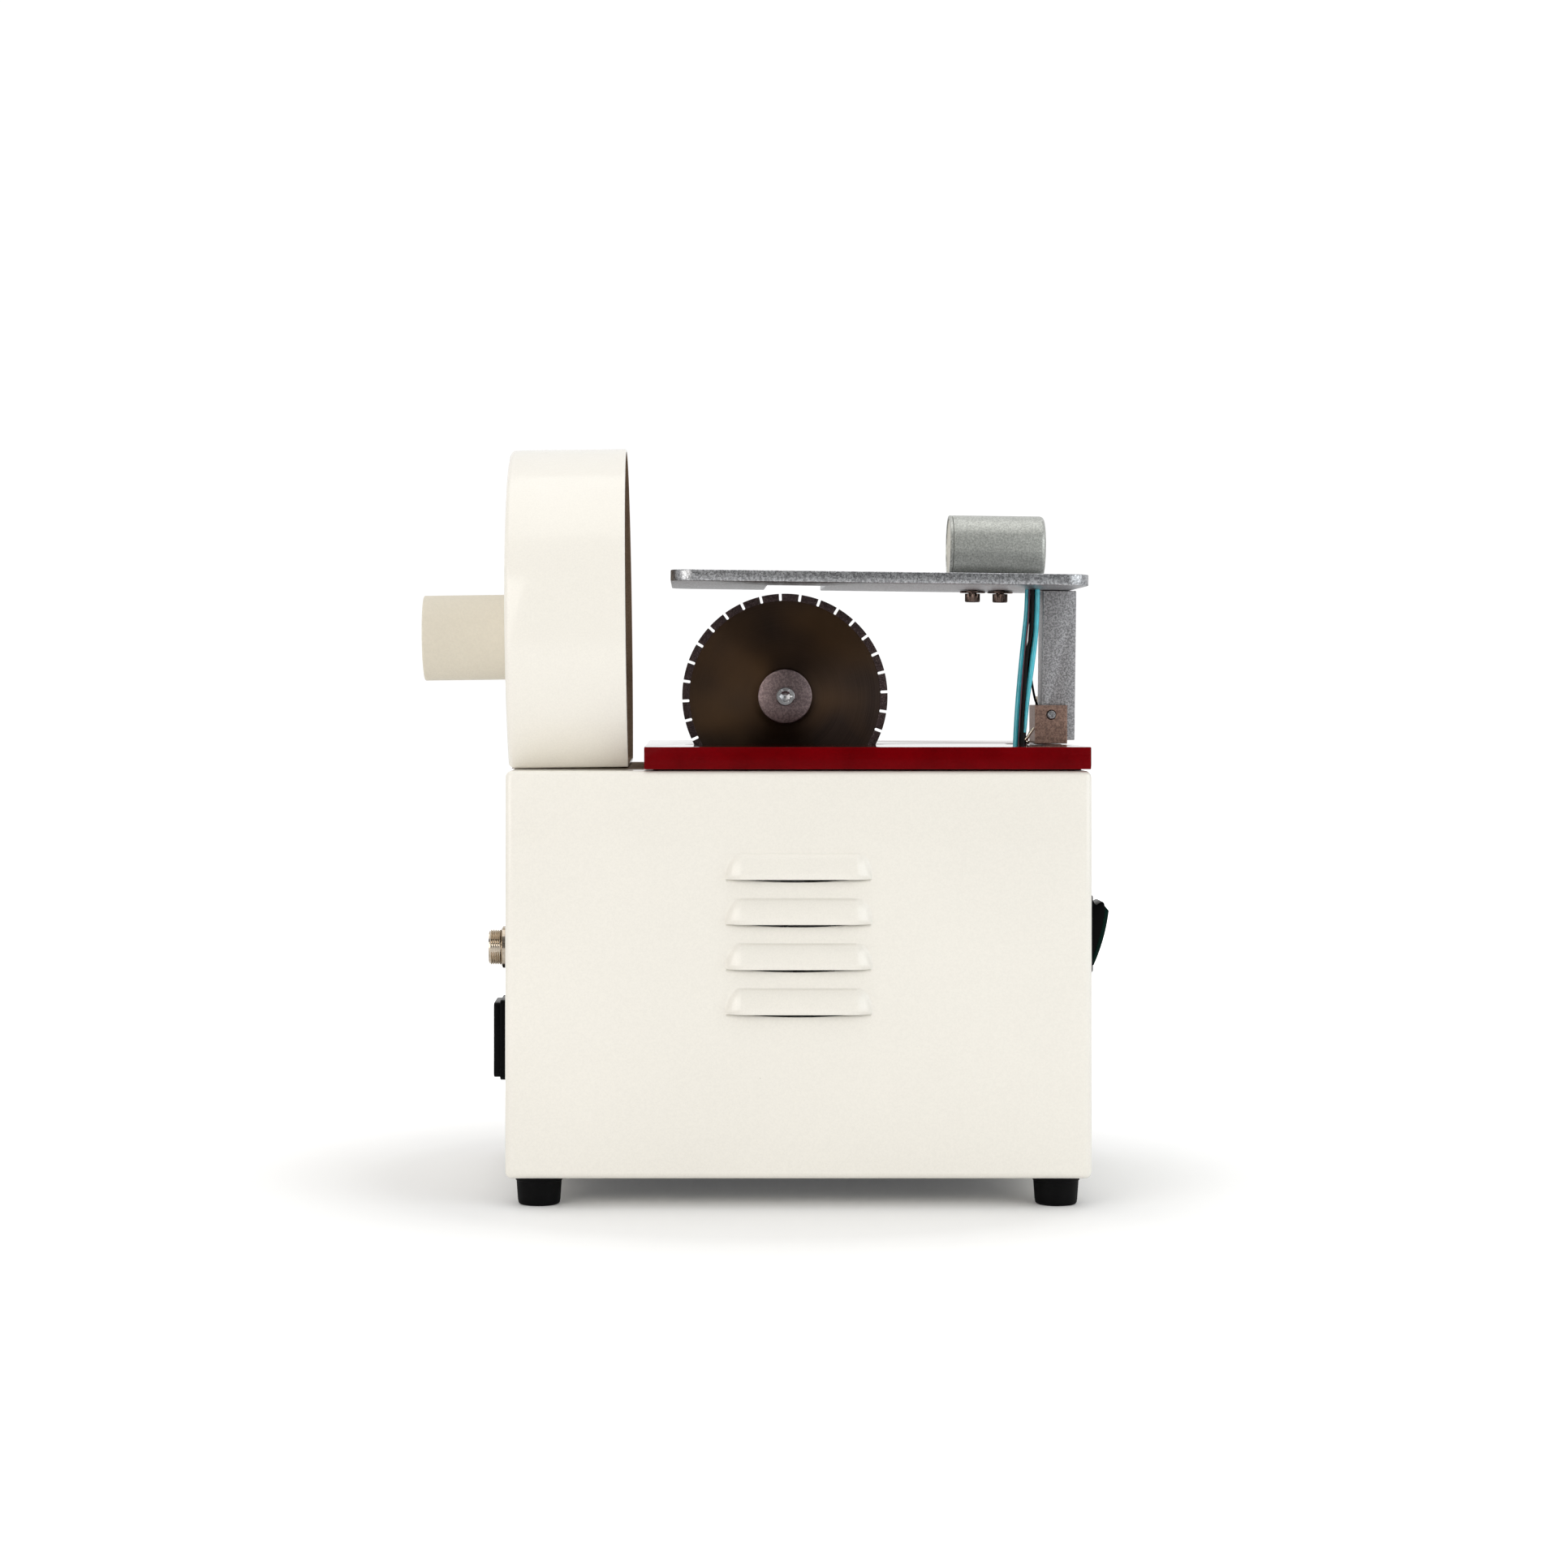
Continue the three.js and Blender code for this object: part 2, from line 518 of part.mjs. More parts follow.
function addSpindle() {

	const line = [ BLADE.x, BLADE.z ];
	const { radius, y, halfWeb, footHalfX, footThickness } = HOUSING;
	const footZ = [ TABLE.z[ 1 ] + GAP, TABLE.z[ 1 ] + GAP + footThickness ];
	const bodyBore = BEARING.radius + GAP;
	const boltPlaces = [ - 1, 1 ].flatMap( ( side ) =>
		[ y[ 0 ] + BOLT.inset, y[ 1 ] - BOLT.inset ].map( ( boltY ) => [ BLADE.x + side * BOLT.x, boltY ] ) );
	const housing = joined( [
		rod( 'y', radius, y, line, 28 ),
		block( around( BLADE.x, halfWeb ), y, [ footZ[ 0 ], BLADE.z ] ),
		prism( 'z', roundedRectangle( around( BLADE.x, footHalfX ), y, 4 ), footZ, { curveSegments: 3 } ),
	] );
	piece( 'spindle_housing', cut( housing, [
		rod( 'y', bodyBore, [ y[ 0 ] - BEYOND, y[ 1 ] + BEYOND ], line, 28 ),
		...boltPlaces.map( ( at ) => rod( 'z', BOLT.hole, [ footZ[ 0 ] - BEYOND, footZ[ 1 ] + BEYOND ], at, 12 ) ),
	] ), 'aluminium' );

	const bearings = {
		front_bearing: y[ 0 ] + BEARING.inset,
		rear_bearing: y[ 1 ] - BEARING.inset - BEARING.width,
	};
	for ( const [ name, start ] of Object.entries( bearings ) ) {

		const span = [ start, start + BEARING.width ];
		piece( name, ring( 'y', SHAFT_RADIUS + GAP, BEARING.radius, span, line, 20 ), 'steel' );

	}

	boltPlaces.forEach( ( at, index ) => {

		const start = footZ[ 0 ] + 0.5;
		const seat = footZ[ 1 ] + GAP;
		const top = seat + BOLT.headHeight;
		const socketFloor = middle( [ seat, top ] );
		piece( 'spindle_bolt_' + ( index + 1 ), turned( 'z', at, [
			[ 0, start ], [ BOLT.radius, start ], [ BOLT.radius, seat ], [ BOLT.headRadius, seat ],
			[ BOLT.headRadius, top - 0.4 ], [ BOLT.headRadius - 0.4, top ], [ BOLT.socket, top ],
			[ BOLT.socket, socketFloor ], [ 0, socketFloor ],
		], 8 ), 'darkSteel' );

	} );

}

// ---------------------------------------------------------------- belt drive and motor

const FLOOR = CABINET.bottom + 2 * CABINET.sheet + 2 * GAP; // just above the base plate

// The outline round two circles and their outer tangents, in X and Z.
function beltOutline( top, bottom, grow ) {

	const rise = top.z - bottom.z;
	const tangent = Math.asin( ( bottom.radius - top.radius ) / rise );
	const outline = new THREE.Shape();
	outline.absarc( BLADE.x, top.z, top.radius + grow, tangent, Math.PI - tangent );
	outline.absarc( BLADE.x, bottom.z, bottom.radius + grow, Math.PI - tangent, 2 * Math.PI + tangent );
	return outline;

}

function addDrive() {

	const top = { z: BLADE.z, radius: PULLEY.arborRadius };
	const bottom = { z: MOTOR.z, radius: PULLEY.motorRadius };
	const belt = beltOutline( top, bottom, GAP + BELT.thickness );
	belt.holes.push( beltOutline( top, bottom, GAP ) );
	piece( 'drive_belt', prism( 'y', belt, BELT.y, { curveSegments: 8 } ), 'rubber' );

	const coverBottom = TABLE.z[ 1 ] + GAP;
	const arch = ( margin, low ) => {

		const outline = new THREE.Shape();
		outline.moveTo( BLADE.x - COVER.halfX + margin, low );
		outline.lineTo( BLADE.x + COVER.halfX - margin, low );
		outline.absarc( BLADE.x, BLADE.z, COVER.halfX - margin, 0, Math.PI );
		return outline;

	};

	const { y, sheet } = COVER;
	const curve = { curveSegments: 12 };
	const cover = prism( 'y', arch( 0, coverBottom ), y, curve );
	const inside = prism( 'y', arch( sheet, coverBottom - BEYOND ), [ y[ 0 ] + sheet, y[ 1 ] - sheet ], curve );
	const shaftHole = rod( 'y', SHAFT_RADIUS + sheet, [ y[ 0 ] - BEYOND, y[ 0 ] + 2 * sheet ],
		[ BLADE.x, BLADE.z ] );
	piece( 'belt_cover', cut( cover, [ inside, shaftHole ] ), 'cream' );

}

function addMotor() {

	const line = [ BLADE.x, MOTOR.z ];
	const [ rear, front ] = MOTOR.y;
	const { radius, wall, shaftRadius, bossRadius } = MOTOR;
	const rotorRadius = radius - 2 * wall;
	const seatRadius = bossRadius / 2;
	const windings = [ rear + 5 * wall, front - 3 * wall ];
	const shaftEnd = PULLEY.y[ 1 ] + 1;
	piece( 'motor_can', turned( 'y', line, [
		[ 0, rear ], [ radius - 3, rear ], [ radius, rear + 3 ], [ radius, front ], [ radius - wall, front ],
		[ radius - wall, rear + wall ], [ bossRadius, rear + wall ], [ bossRadius, rear + 10 ],
		[ seatRadius, rear + 10 ], [ seatRadius, rear + wall ], [ 0, rear + wall ],
	], 24 ), 'steel' );
	const bellBack = front + GAP;
	const bore = shaftRadius + GAP;
	piece( 'motor_front_bell', turned( 'y', line, [
		[ bore, bellBack ], [ radius, bellBack ], [ radius, bellBack + BELL.rim ],
		[ bossRadius, bellBack + BELL.face ], [ bossRadius, bellBack + BELL.boss ], [ bore, bellBack + BELL.boss ],
	], 24 ), 'aluminium' );
	piece( 'motor_rotor', turned( 'y', line, [
		[ 0, rear + wall + 1 ], [ shaftRadius, rear + wall + 1 ], [ shaftRadius, windings[ 0 ] ],
		[ rotorRadius, windings[ 0 ] ], [ rotorRadius, windings[ 1 ] ], [ shaftRadius, windings[ 1 ] ],
		[ shaftRadius, shaftEnd ], [ 0, shaftEnd ],
	], 20 ), 'steel' );
	addPulley( 'motor_pulley', PULLEY.motorRadius, shaftRadius, line );

	const { thickness, footLength } = BRACKET;
	const plateY = [ bellBack + BELL.face + GAP, bellBack + BELL.face + GAP + thickness ];
	const bracketX = around( BLADE.x, radius );
	const upright = block( bracketX, plateY, [ FLOOR, MOTOR.z + radius ] );
	const foot = block( bracketX, [ plateY[ 0 ] - footLength, plateY[ 1 ] ], [ FLOOR, FLOOR + thickness ] );
	const shaftOpening = rod( 'y', bossRadius + GAP, [ plateY[ 0 ] - BEYOND, plateY[ 1 ] + BEYOND ], line );
	piece( 'motor_bracket', cut( upright.add( foot ), [ shaftOpening ] ), 'steel' );

}

// ---------------------------------------------------------------- inside the cabinet

function addInternals() {

	const { sheet } = TROUGH;
	const top = CABINET.top - CABINET.sheet - GAP;
	const trough = block( around( BLADE.x, TROUGH.halfX ), around( BLADE.y, TROUGH.halfY ),
		[ top - TROUGH.depth, top ] );
	const inside = block( around( BLADE.x, TROUGH.halfX - sheet ), around( BLADE.y, TROUGH.halfY - sheet ),
		[ top - TROUGH.depth + sheet, top + BEYOND ] );
	piece( 'blade_trough', trough.subtract( inside ), 'steel' );
	piece( 'power_supply', block( SUPPLY.x, SUPPLY.y, [ FLOOR, FLOOR + SUPPLY.height ] ), 'steel' );

	const { x, y, thickness, raised, sunk } = BOARD;
	const boardTop = FLOOR + raised;
	const onBoard = ( height ) => [ boardTop - sunk, boardTop + height ];
	const standoffs = [ x[ 0 ] + 4, x[ 1 ] - 4 ].flatMap( ( atX ) => [ y[ 0 ] + 4, y[ 1 ] - 4 ].map( ( atY ) =>
		rod( 'z', 3, [ FLOOR, boardTop - 1 ], [ atX, atY ], 8 ) ) );
	const capacitors = [ - 98, - 82 ].map( ( atX ) => rod( 'z', 6, onBoard( 18 ), [ atX, 50 ], 12 ) );
	const relay = block( [ - 106, - 88 ], [ 4, 20 ], onBoard( 14 ) );
	const heatSink = block( [ - 80, - 64 ], [ 0, 36 ], onBoard( 10 ) );
	const board = block( x, y, [ boardTop - thickness, boardTop ] );
	piece( 'control_board', joined( [ board, ...standoffs, ...capacitors, relay, heatSink ] ), 'circuit' );

}

// ---------------------------------------------------------------- guard arm

function addHinge() {

	const line = [ PIN.x, PIN.z ];
	const foot = TABLE.z[ 1 ] + GAP;
	const { x, y, top } = CLEVIS;
	const slotY = [ POST.y[ 0 ] - GAP, POST.y[ 1 ] + GAP ];
	const { back, floor, floorLength } = CLEVIS_WALL;
	const body = block( x, y, [ foot, top ] );
	piece( 'clevis_block', cut( body, [
		block( [ x[ 0 ] + back, x[ 1 ] + BEYOND ], slotY, [ foot + floor, top + BEYOND ] ),
		block( [ x[ 0 ] + floorLength, x[ 1 ] + BEYOND ], slotY, [ foot - BEYOND, foot + 2 * floor ] ),
		rod( 'y', PIN.radius + GAP, [ y[ 0 ] - BEYOND, y[ 1 ] + BEYOND ], line, 16 ),
	] ), 'brownSteel' );
	piece( 'hinge_pin', rod( 'y', PIN.radius, PIN.y, line, 16 ), 'steel' );

	// The spring's coil sits on the pin beyond the far cheek. One leg presses on the post. The other runs
	// forwards along the table beside the block and ends in a hook at the block's near corner.
	const { coilRadius, turns, pitch, wire } = SPRING;
	const coilStart = y[ 1 ] + GAP + 2.5 * wire;
	const path = [
		new THREE.Vector3( x[ 0 ] - 0.9, y[ 0 ] + 0.8, foot + 6.6 ),
		new THREE.Vector3( x[ 0 ] - 4.2, y[ 0 ] + 0.7, foot + 0.9 ),
		new THREE.Vector3( x[ 0 ] - 2, y[ 0 ] + 4, foot + 0.9 ),
		new THREE.Vector3( x[ 0 ] - 2, y[ 1 ] - 2.5, foot + 0.9 ),
		new THREE.Vector3( x[ 0 ] - 1, coilStart, foot + 1.4 ),
		new THREE.Vector3( x[ 0 ] + 2.6, coilStart, foot + 7 ),
	];
	const stepsPerTurn = 10;
	for ( let step = 0; step <= turns * stepsPerTurn; step ++ ) {

		const angle = Math.PI + 2 * Math.PI * step / stepsPerTurn;
		path.push( new THREE.Vector3( PIN.x + coilRadius * Math.cos( angle ),
			coilStart + pitch * step / stepsPerTurn, PIN.z + coilRadius * Math.sin( angle ) ) );

	}

	path.push( new THREE.Vector3( PIN.x - coilRadius, coilStart + pitch * turns, top + 4 ) );
	const section = new THREE.Shape();
	section.absarc( 0, 0, wire, 0, 2 * Math.PI );
	piece( 'return_spring', toSolid( new THREE.ExtrudeGeometry( section, {
		extrudePath: new THREE.CatmullRomCurve3( path, false, 'catmullrom', 0.5 ),
		steps: 64,
		curveSegments: 3,
		bevelEnabled: false,
	} ) ), 'nickel' );

}

// A tube or cable from under the table up to the plate, along a gentle curve.
function flexible( radius, bottom, bend, top ) {

	const path = new THREE.CatmullRomCurve3( [ bottom, bend, top ].map( ( p ) => new THREE.Vector3( ...p ) ) );
	const section = new THREE.Shape();
	section.absarc( 0, 0, radius, 0, 2 * Math.PI );
	return toSolid( new THREE.ExtrudeGeometry( section, {
		extrudePath: path,
		steps: 8,
		curveSegments: 4,
		bevelEnabled: false,
	} ) );

}

function addArm() {

	const plateBottom = PLATE.z[ 0 ];
	const plateTop = PLATE.z[ 1 ];
	const outline = roundedRectangle( PLATE.x, PLATE.y, PLATE.corner );
	const through = [ plateBottom - BEYOND, plateTop + BEYOND ];
	const pocket = block( CABLE_POCKET.x, CABLE_POCKET.y, [ through[ 0 ], plateBottom + CABLE_POCKET.depth ] );
	const screwHoles = LAMP_SCREW.x.map( ( x ) => rod( 'z', LAMP_SCREW.hole, through, [ x, LAMP.y ], 12 ) );
	const notch = block( NOTCH.x, [ NOTCH.y, PLATE.y[ 1 ] + BEYOND ], through );
	piece( 'guard_plate', cut( prism( 'z', outline, PLATE.z, { curveSegments: 6 } ),
		[ pocket, notch, ...screwHoles ] ), 'aluminium', armGroup );

	const post = block( POST.x, POST.y, [ POST.bottom, plateBottom - GAP ] );
	piece( 'guard_post', post.subtract(
		rod( 'y', PIN.radius + GAP, [ POST.y[ 0 ] - BEYOND, POST.y[ 1 ] + BEYOND ], [ PIN.x, PIN.z ], 16 ),
	), 'aluminium', armGroup );

	addLamp();
	addCables();

}

function addLamp() {

	const plateTop = PLATE.z[ 1 ];
	const { x: [ start, end ], y, radius, edge, cap, capHole } = LAMP;
	const line = [ y, plateTop + GAP + radius ];
	const body = turned( 'x', line, [
		[ 0, start + cap + GAP ], [ radius, start + cap + GAP ], [ radius, end - edge ],
		[ radius - 0.3 * edge, end - 0.3 * edge ], [ radius - edge, end ], [ 0, end ],
	], 28 );
	const { hole, headRadius, headHeight, socket, radius: shank } = LAMP_SCREW;
	const threads = LAMP_SCREW.x.map( ( x ) =>
		rod( 'z', hole, [ plateTop - BEYOND, plateTop + 5.5 ], [ x, y ], 12 ) );
	piece( 'lamp_housing', cut( body, threads ), 'greyPaint', armGroup );
	piece( 'lamp_end_cap', ring( 'x', capHole, radius, [ start, start + cap ], line, 28 ),
		'greyPaint', armGroup );

	LAMP_SCREW.x.forEach( ( x, index ) => {

		const washerTop = PLATE.z[ 0 ] - GAP;
		const washer = ring( 'z', hole, WASHER.radius, [ washerTop - WASHER.thickness, washerTop ], [ x, y ], 20 );
		piece( 'lamp_washer_' + ( index + 1 ), washer, 'darkSteel', armGroup );
		const seat = washerTop - WASHER.thickness - GAP;
		const face = seat - headHeight;
		const socketFloor = middle( [ seat, face ] );
		piece( 'lamp_screw_' + ( index + 1 ), turned( 'z', [ x, y ], [
			[ 0, socketFloor ], [ socket, socketFloor ], [ socket, face ], [ headRadius - GAP, face ],
			[ headRadius, face + GAP ], [ headRadius, seat ], [ shank, seat ], [ shank, plateTop + 5 ],
			[ 0, plateTop + 5 ],
		], 12 ), 'darkSteel', armGroup );

	} );

}

function addCables() {

	const [ foot, bend, top ] = CABLE_Z;
	piece( 'air_tube_near', flexible( TUBE_RADIUS, [ 106.2, - 20.5, foot ], [ 106.2, - 20.5, bend ],
		[ 110.4, - 20.5, top ] ), 'cyan', armGroup );
	piece( 'air_tube_far', flexible( TUBE_RADIUS, [ 106.4, - 11, foot ], [ 107, - 11, bend ],
		[ 113.2, - 10, top ] ), 'cyan', armGroup );
	piece( 'lamp_cable', flexible( CABLE_RADIUS, [ 106.8, - 15.8, foot ], [ 106.8, - 15.8, bend ],
		[ 112, - 15, top ] ), 'cable', armGroup );

}

// ---------------------------------------------------------------- panel fittings

// The rocker's end, from its pivot side to its face, as [outwards, along] from the pivot.
const ROCKER_END = [
	[ - 5, 12 ], [ - 0.3, 14.9 ], [ 1.4, 13.6 ], [ 2.7, 15.5 ], [ 4.3, 15.6 ], [ 5.6, 14 ], [ 7.3, 12.6 ],
];
const ROCKER_CROWN = 0.95;

function addSwitch() {

	const ends = ROCKER_END.map( ( [ out, along ] ) => new THREE.Vector2( out, along ) );
	const outline = new THREE.Shape( ends );
	const tip = ends.at( - 1 );
	outline.quadraticCurveTo( tip.x + 2 * ROCKER_CROWN, 0, tip.x, - tip.y );
	ends.slice( 0, - 1 ).reverse().forEach( ( point ) => outline.lineTo( point.x, - point.y ) );
	const rocker = new THREE.ExtrudeGeometry( outline, {
		depth: length( ROCKER.y ),
		bevelEnabled: false,
		curveSegments: 8,
		steps: 1,
	} );
	rocker.rotateX( Math.PI / 2 );
	rocker.rotateY( THREE.MathUtils.degToRad( ROCKER.tilt ) );
	rocker.translate( ROCKER.x, ROCKER.y[ 1 ], ROCKER.z );
	piece( 'switch_rocker', toSolid( rocker ), 'greenPlastic' );

	const faceX = CABINET.halfX + GAP;
	const { y, halfZ, thickness, rim } = BEZEL;
	const flange = prism( 'x', roundedRectangle( y, around( ROCKER.z, halfZ ), 1.5 ),
		[ faceX, faceX + thickness ], { curveSegments: 2 } );
	const tankY = [ y[ 0 ] + rim + 0.6, y[ 1 ] - rim - 0.6 ];
	const tank = block( [ CABINET.halfX - SWITCH_DEPTH.tank, faceX + 1 ], tankY,
		around( ROCKER.z, halfZ - rim ) );
	const cavity = block( [ CABINET.halfX - SWITCH_DEPTH.cavity, faceX + thickness + BEYOND ],
		[ ROCKER.y[ 0 ] - 0.5, ROCKER.y[ 1 ] + 0.5 ], around( ROCKER.z, halfZ - rim - 0.05 ) );
	piece( 'switch_body', flange.add( tank ).subtract( cavity ), 'blackPlastic' );

}

function addConnector() {

	const line = [ CONNECTOR.y, CONNECTOR.z ];
	const { threadRadius: crest, reach, turns, pitch, bore } = CONNECTOR;
	const { radius, thickness } = CONNECTOR_NUT;
	const wallX = - CABINET.halfX;
	const nutX = [ wallX - GAP - thickness, wallX - GAP ];
	const end = wallX - reach;
	const root = crest - 0.6;
	const tail = wallX + 12;
	const profile = [[ 0, end + 4 ], [ bore, end + 4 ], [ bore, end ], [ crest - 0.7, end ]];
	for ( let turn = 0; turn < turns; turn ++ ) {

		const start = end + pitch * turn;
		profile.push( [ crest, start + 0.5 * pitch ], [ root, start + pitch ] );

	}

	profile.push( [ root, nutX[ 1 ] ], [ root, tail ], [ 0, tail ] );
	const flat = block( [ end - BEYOND, nutX[ 0 ] ], [ CONNECTOR.y - crest - BEYOND, CONNECTOR.y - crest + 0.7 ],
		around( CONNECTOR.z, crest ) );
	piece( 'connector_body', turned( 'x', line, profile, 16 ).subtract( flat ), 'nickel' );
	piece( 'connector_nut', ring( 'x', crest - 0.3, radius, nutX, line, 16 ), 'nickel' );

}

function addInlet() {

	const { y, z, halfY, halfZ, flange, front } = INLET;
	const wallX = - CABINET.halfX;
	const flangeX = [ wallX - GAP - flange, wallX - GAP ];
	const frontFace = flangeX[ 0 ] - front;
	const { corner, halfY: halfSocket } = SOCKET;
	const socketZ = [ z + SOCKET.low, z + SOCKET.high ];
	const socket = polygon( [
		[ y - halfSocket, socketZ[ 0 ] ], [ y + halfSocket, socketZ[ 0 ] ],
		[ y + halfSocket, socketZ[ 1 ] - corner ], [ y + halfSocket - corner, socketZ[ 1 ] ],
		[ y - halfSocket + corner, socketZ[ 1 ] ], [ y - halfSocket, socketZ[ 1 ] - corner ],
	] );
	const raised = roundedRectangle( around( y, halfY - 1.3 ), around( z, halfZ - 1.2 ), 2 );
	const layers = joined( [
		prism( 'x', roundedRectangle( around( y, halfY ), around( z, halfZ ), 2 ), flangeX, { curveSegments: 2 } ),
		prism( 'x', raised, [ frontFace, flangeX[ 0 ] + 0.5 ], { curveSegments: 2 } ),
		block( [ wallX - 1, wallX + INLET_CASE.depth ], around( y, INLET_CASE.halfY ),
			around( z, INLET_CASE.halfZ ) ),
	] );
	const pinPlaces = [[ y, z + 8 ], [ y - 7, z + 3 ], [ y + 7, z + 3 ]];
	const pins = pinPlaces.map( ( [ pinY, pinZ ] ) =>
		block( [ frontFace + 2, wallX + 18 ], around( pinY, 1 ), around( pinZ, 2 ) ) );

	const drawerX = [ frontFace + 0.2, wallX + FUSE_DRAWER.depth ];
	const drawerY = around( y, FUSE_DRAWER.halfY );
	const drawerZ = [ z + FUSE_DRAWER.low, z + FUSE_DRAWER.high ];
	const hollows = [
		prism( 'x', socket, [ frontFace - BEYOND, wallX + SOCKET.depth ] ),
		block( [ frontFace - BEYOND, drawerX[ 1 ] + 2 ], [ drawerY[ 0 ] - GAP, drawerY[ 1 ] + GAP ],
			[ drawerZ[ 0 ] - GAP, drawerZ[ 1 ] + GAP ] ),
	];
	piece( 'inlet_body', joined( [ cut( layers, hollows ), ...pins ] ), 'blackPlastic' );

	const fuseBed = block( [ drawerX[ 0 ] + 2.8, drawerX[ 1 ] - 2 ], [ drawerY[ 0 ] + 1.2, drawerY[ 1 ] - 1.2 ],
		[ drawerZ[ 0 ] + 1.5, drawerZ[ 1 ] + BEYOND ] );
	piece( 'fuse_drawer', block( drawerX, drawerY, drawerZ ).subtract( fuseBed ), 'blackPlastic' );

}

addCabinet();
addTable();
addHood();
addArbor();
addSpindle();
addDrive();
addMotor();
addInternals();
addHinge();
addArm();
addSwitch();
addConnector();
addInlet();

const overall = new THREE.Box3().setFromObject( slabSaw, true );
slabSaw.position.x = - middle( [ overall.min.x, overall.max.x ] );

export default slabSaw;
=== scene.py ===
# The looks of a small bench disc saw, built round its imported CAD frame: a louvred cabinet with a red table,
# a segmented disc, a drum-shaped dust hood and a hinged guard arm that carries a lamp.
# Sizes in this script are millimetres. A piece is scaled to metres when it is made.
import json
import math
from collections import namedtuple

import bmesh
import bpy
import numpy as np
from mathutils import Matrix, Vector


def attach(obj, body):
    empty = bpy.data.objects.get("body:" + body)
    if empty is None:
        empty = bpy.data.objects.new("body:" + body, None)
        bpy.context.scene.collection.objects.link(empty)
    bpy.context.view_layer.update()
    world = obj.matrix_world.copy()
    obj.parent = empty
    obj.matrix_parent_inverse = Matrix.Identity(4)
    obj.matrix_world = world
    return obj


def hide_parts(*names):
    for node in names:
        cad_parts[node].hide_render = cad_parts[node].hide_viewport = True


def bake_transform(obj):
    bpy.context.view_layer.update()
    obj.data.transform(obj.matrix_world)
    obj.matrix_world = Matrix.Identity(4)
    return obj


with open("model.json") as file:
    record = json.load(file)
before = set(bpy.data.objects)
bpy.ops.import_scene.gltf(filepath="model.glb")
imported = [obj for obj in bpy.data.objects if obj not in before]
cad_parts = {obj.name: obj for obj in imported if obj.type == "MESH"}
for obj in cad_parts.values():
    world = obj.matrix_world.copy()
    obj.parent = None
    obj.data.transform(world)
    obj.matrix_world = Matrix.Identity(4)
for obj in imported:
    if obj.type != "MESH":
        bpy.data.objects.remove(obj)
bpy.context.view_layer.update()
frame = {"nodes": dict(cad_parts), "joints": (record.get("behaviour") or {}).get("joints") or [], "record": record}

MM = 0.001
TAU = 2 * math.pi
record = frame["record"]
SLOT_OF = {part["node"]: part["material_slot"] for part in record["subparts"]}
BODY_OF = {node: body for body, nodes in record["behaviour"]["bodies"].items() for node in nodes}
JOINT_AT = {joint["name"]: Vector(joint["pos_m"]) / MM for joint in frame["joints"] if "pos_m" in joint}

Span = namedtuple("Span", "x y z")


def measure(node, place=Matrix.Identity(4)):
    """The node's extent along each axis. With place, the axes are those of a leaning assembly."""
    corners = np.array([v.co for v in frame["nodes"][node].data.vertices]) / MM
    square = np.array(place.inverted())
    corners = corners @ square[:3, :3].T + square[:3, 3]
    return Span(*zip(corners.min(0).tolist(), corners.max(0).tolist()))


def middle(span):
    return (span[0] + span[1]) / 2


def length(span):
    return span[1] - span[0]


def around(centre, half):
    return centre - half, centre + half


def inset(span, margin):
    return span[0] + margin, span[1] - margin


def leaning(pivot, degrees):
    """The placing matrix of an assembly that is drawn square and leans about a Y axis through the pivot."""
    turn = Matrix.Rotation(math.radians(degrees), 4, "Y")
    return Matrix.Translation(pivot) @ turn @ Matrix.Translation(-pivot)


LEAN = 0.72
TABLE = measure("worktable")
SHELL = measure("cabinet_shell")
CABINET = Span(SHELL.x, TABLE.y, SHELL.z)
MIDDLE_X = middle(CABINET.x)
HOOD_HALF_LENGTH = 27
PIN = JOINT_AT["arm_tilt"]
ARBOR = JOINT_AT["arbor_spin"]
HOOD_LEAN = leaning(Vector((CABINET.x[0] + HOOD_HALF_LENGTH, 0, TABLE.z[0])), -LEAN)
ARM_LEAN = leaning(PIN, LEAN)


# ---------------------------------------------------------------- outlines and bodies

def circle(radius, centre=(0, 0), count=64, start=0, sweep=TAU):
    """Points round an arc. A full circle doesn't repeat its first point."""
    steps = count if sweep == TAU else count - 1
    angles = [start + sweep * i / steps for i in range(count)]
    return [(centre[0] + radius * math.cos(a), centre[1] + radius * math.sin(a)) for a in angles]


def rounded(across, up, radius, count=7):
    """A rectangle whose corners are arcs."""
    corners = [(across[1] - radius, up[0] + radius), (across[1] - radius, up[1] - radius),
               (across[0] + radius, up[1] - radius), (across[0] + radius, up[0] + radius)]
    return [point for i, corner in enumerate(corners)
            for point in circle(radius, corner, count, (i - 1) * TAU / 4, TAU / 4)]


def edge_round(radius, count):
    """A quarter round as (distance in from the side, distance in from the end), from the end to the side."""
    turns = np.linspace(0, TAU / 4, count)
    return [(radius * (1 - math.sin(a)), radius * (1 - math.cos(a))) for a in turns]


def hexagon_at(radius, angle):
    """A point on a hexagon's rim, radius being half its width across the flats."""
    turn = (angle + TAU / 12) % (TAU / 6) - TAU / 12
    reach = radius / math.cos(turn)
    return reach * math.cos(angle), reach * math.sin(angle)


def onto(axis, u, v, along):
    """A point given by its two coordinates across an axis, in order, and its place along that axis."""
    return {"x": (along, u, v), "y": (u, along, v), "z": (u, v, along)}[axis]


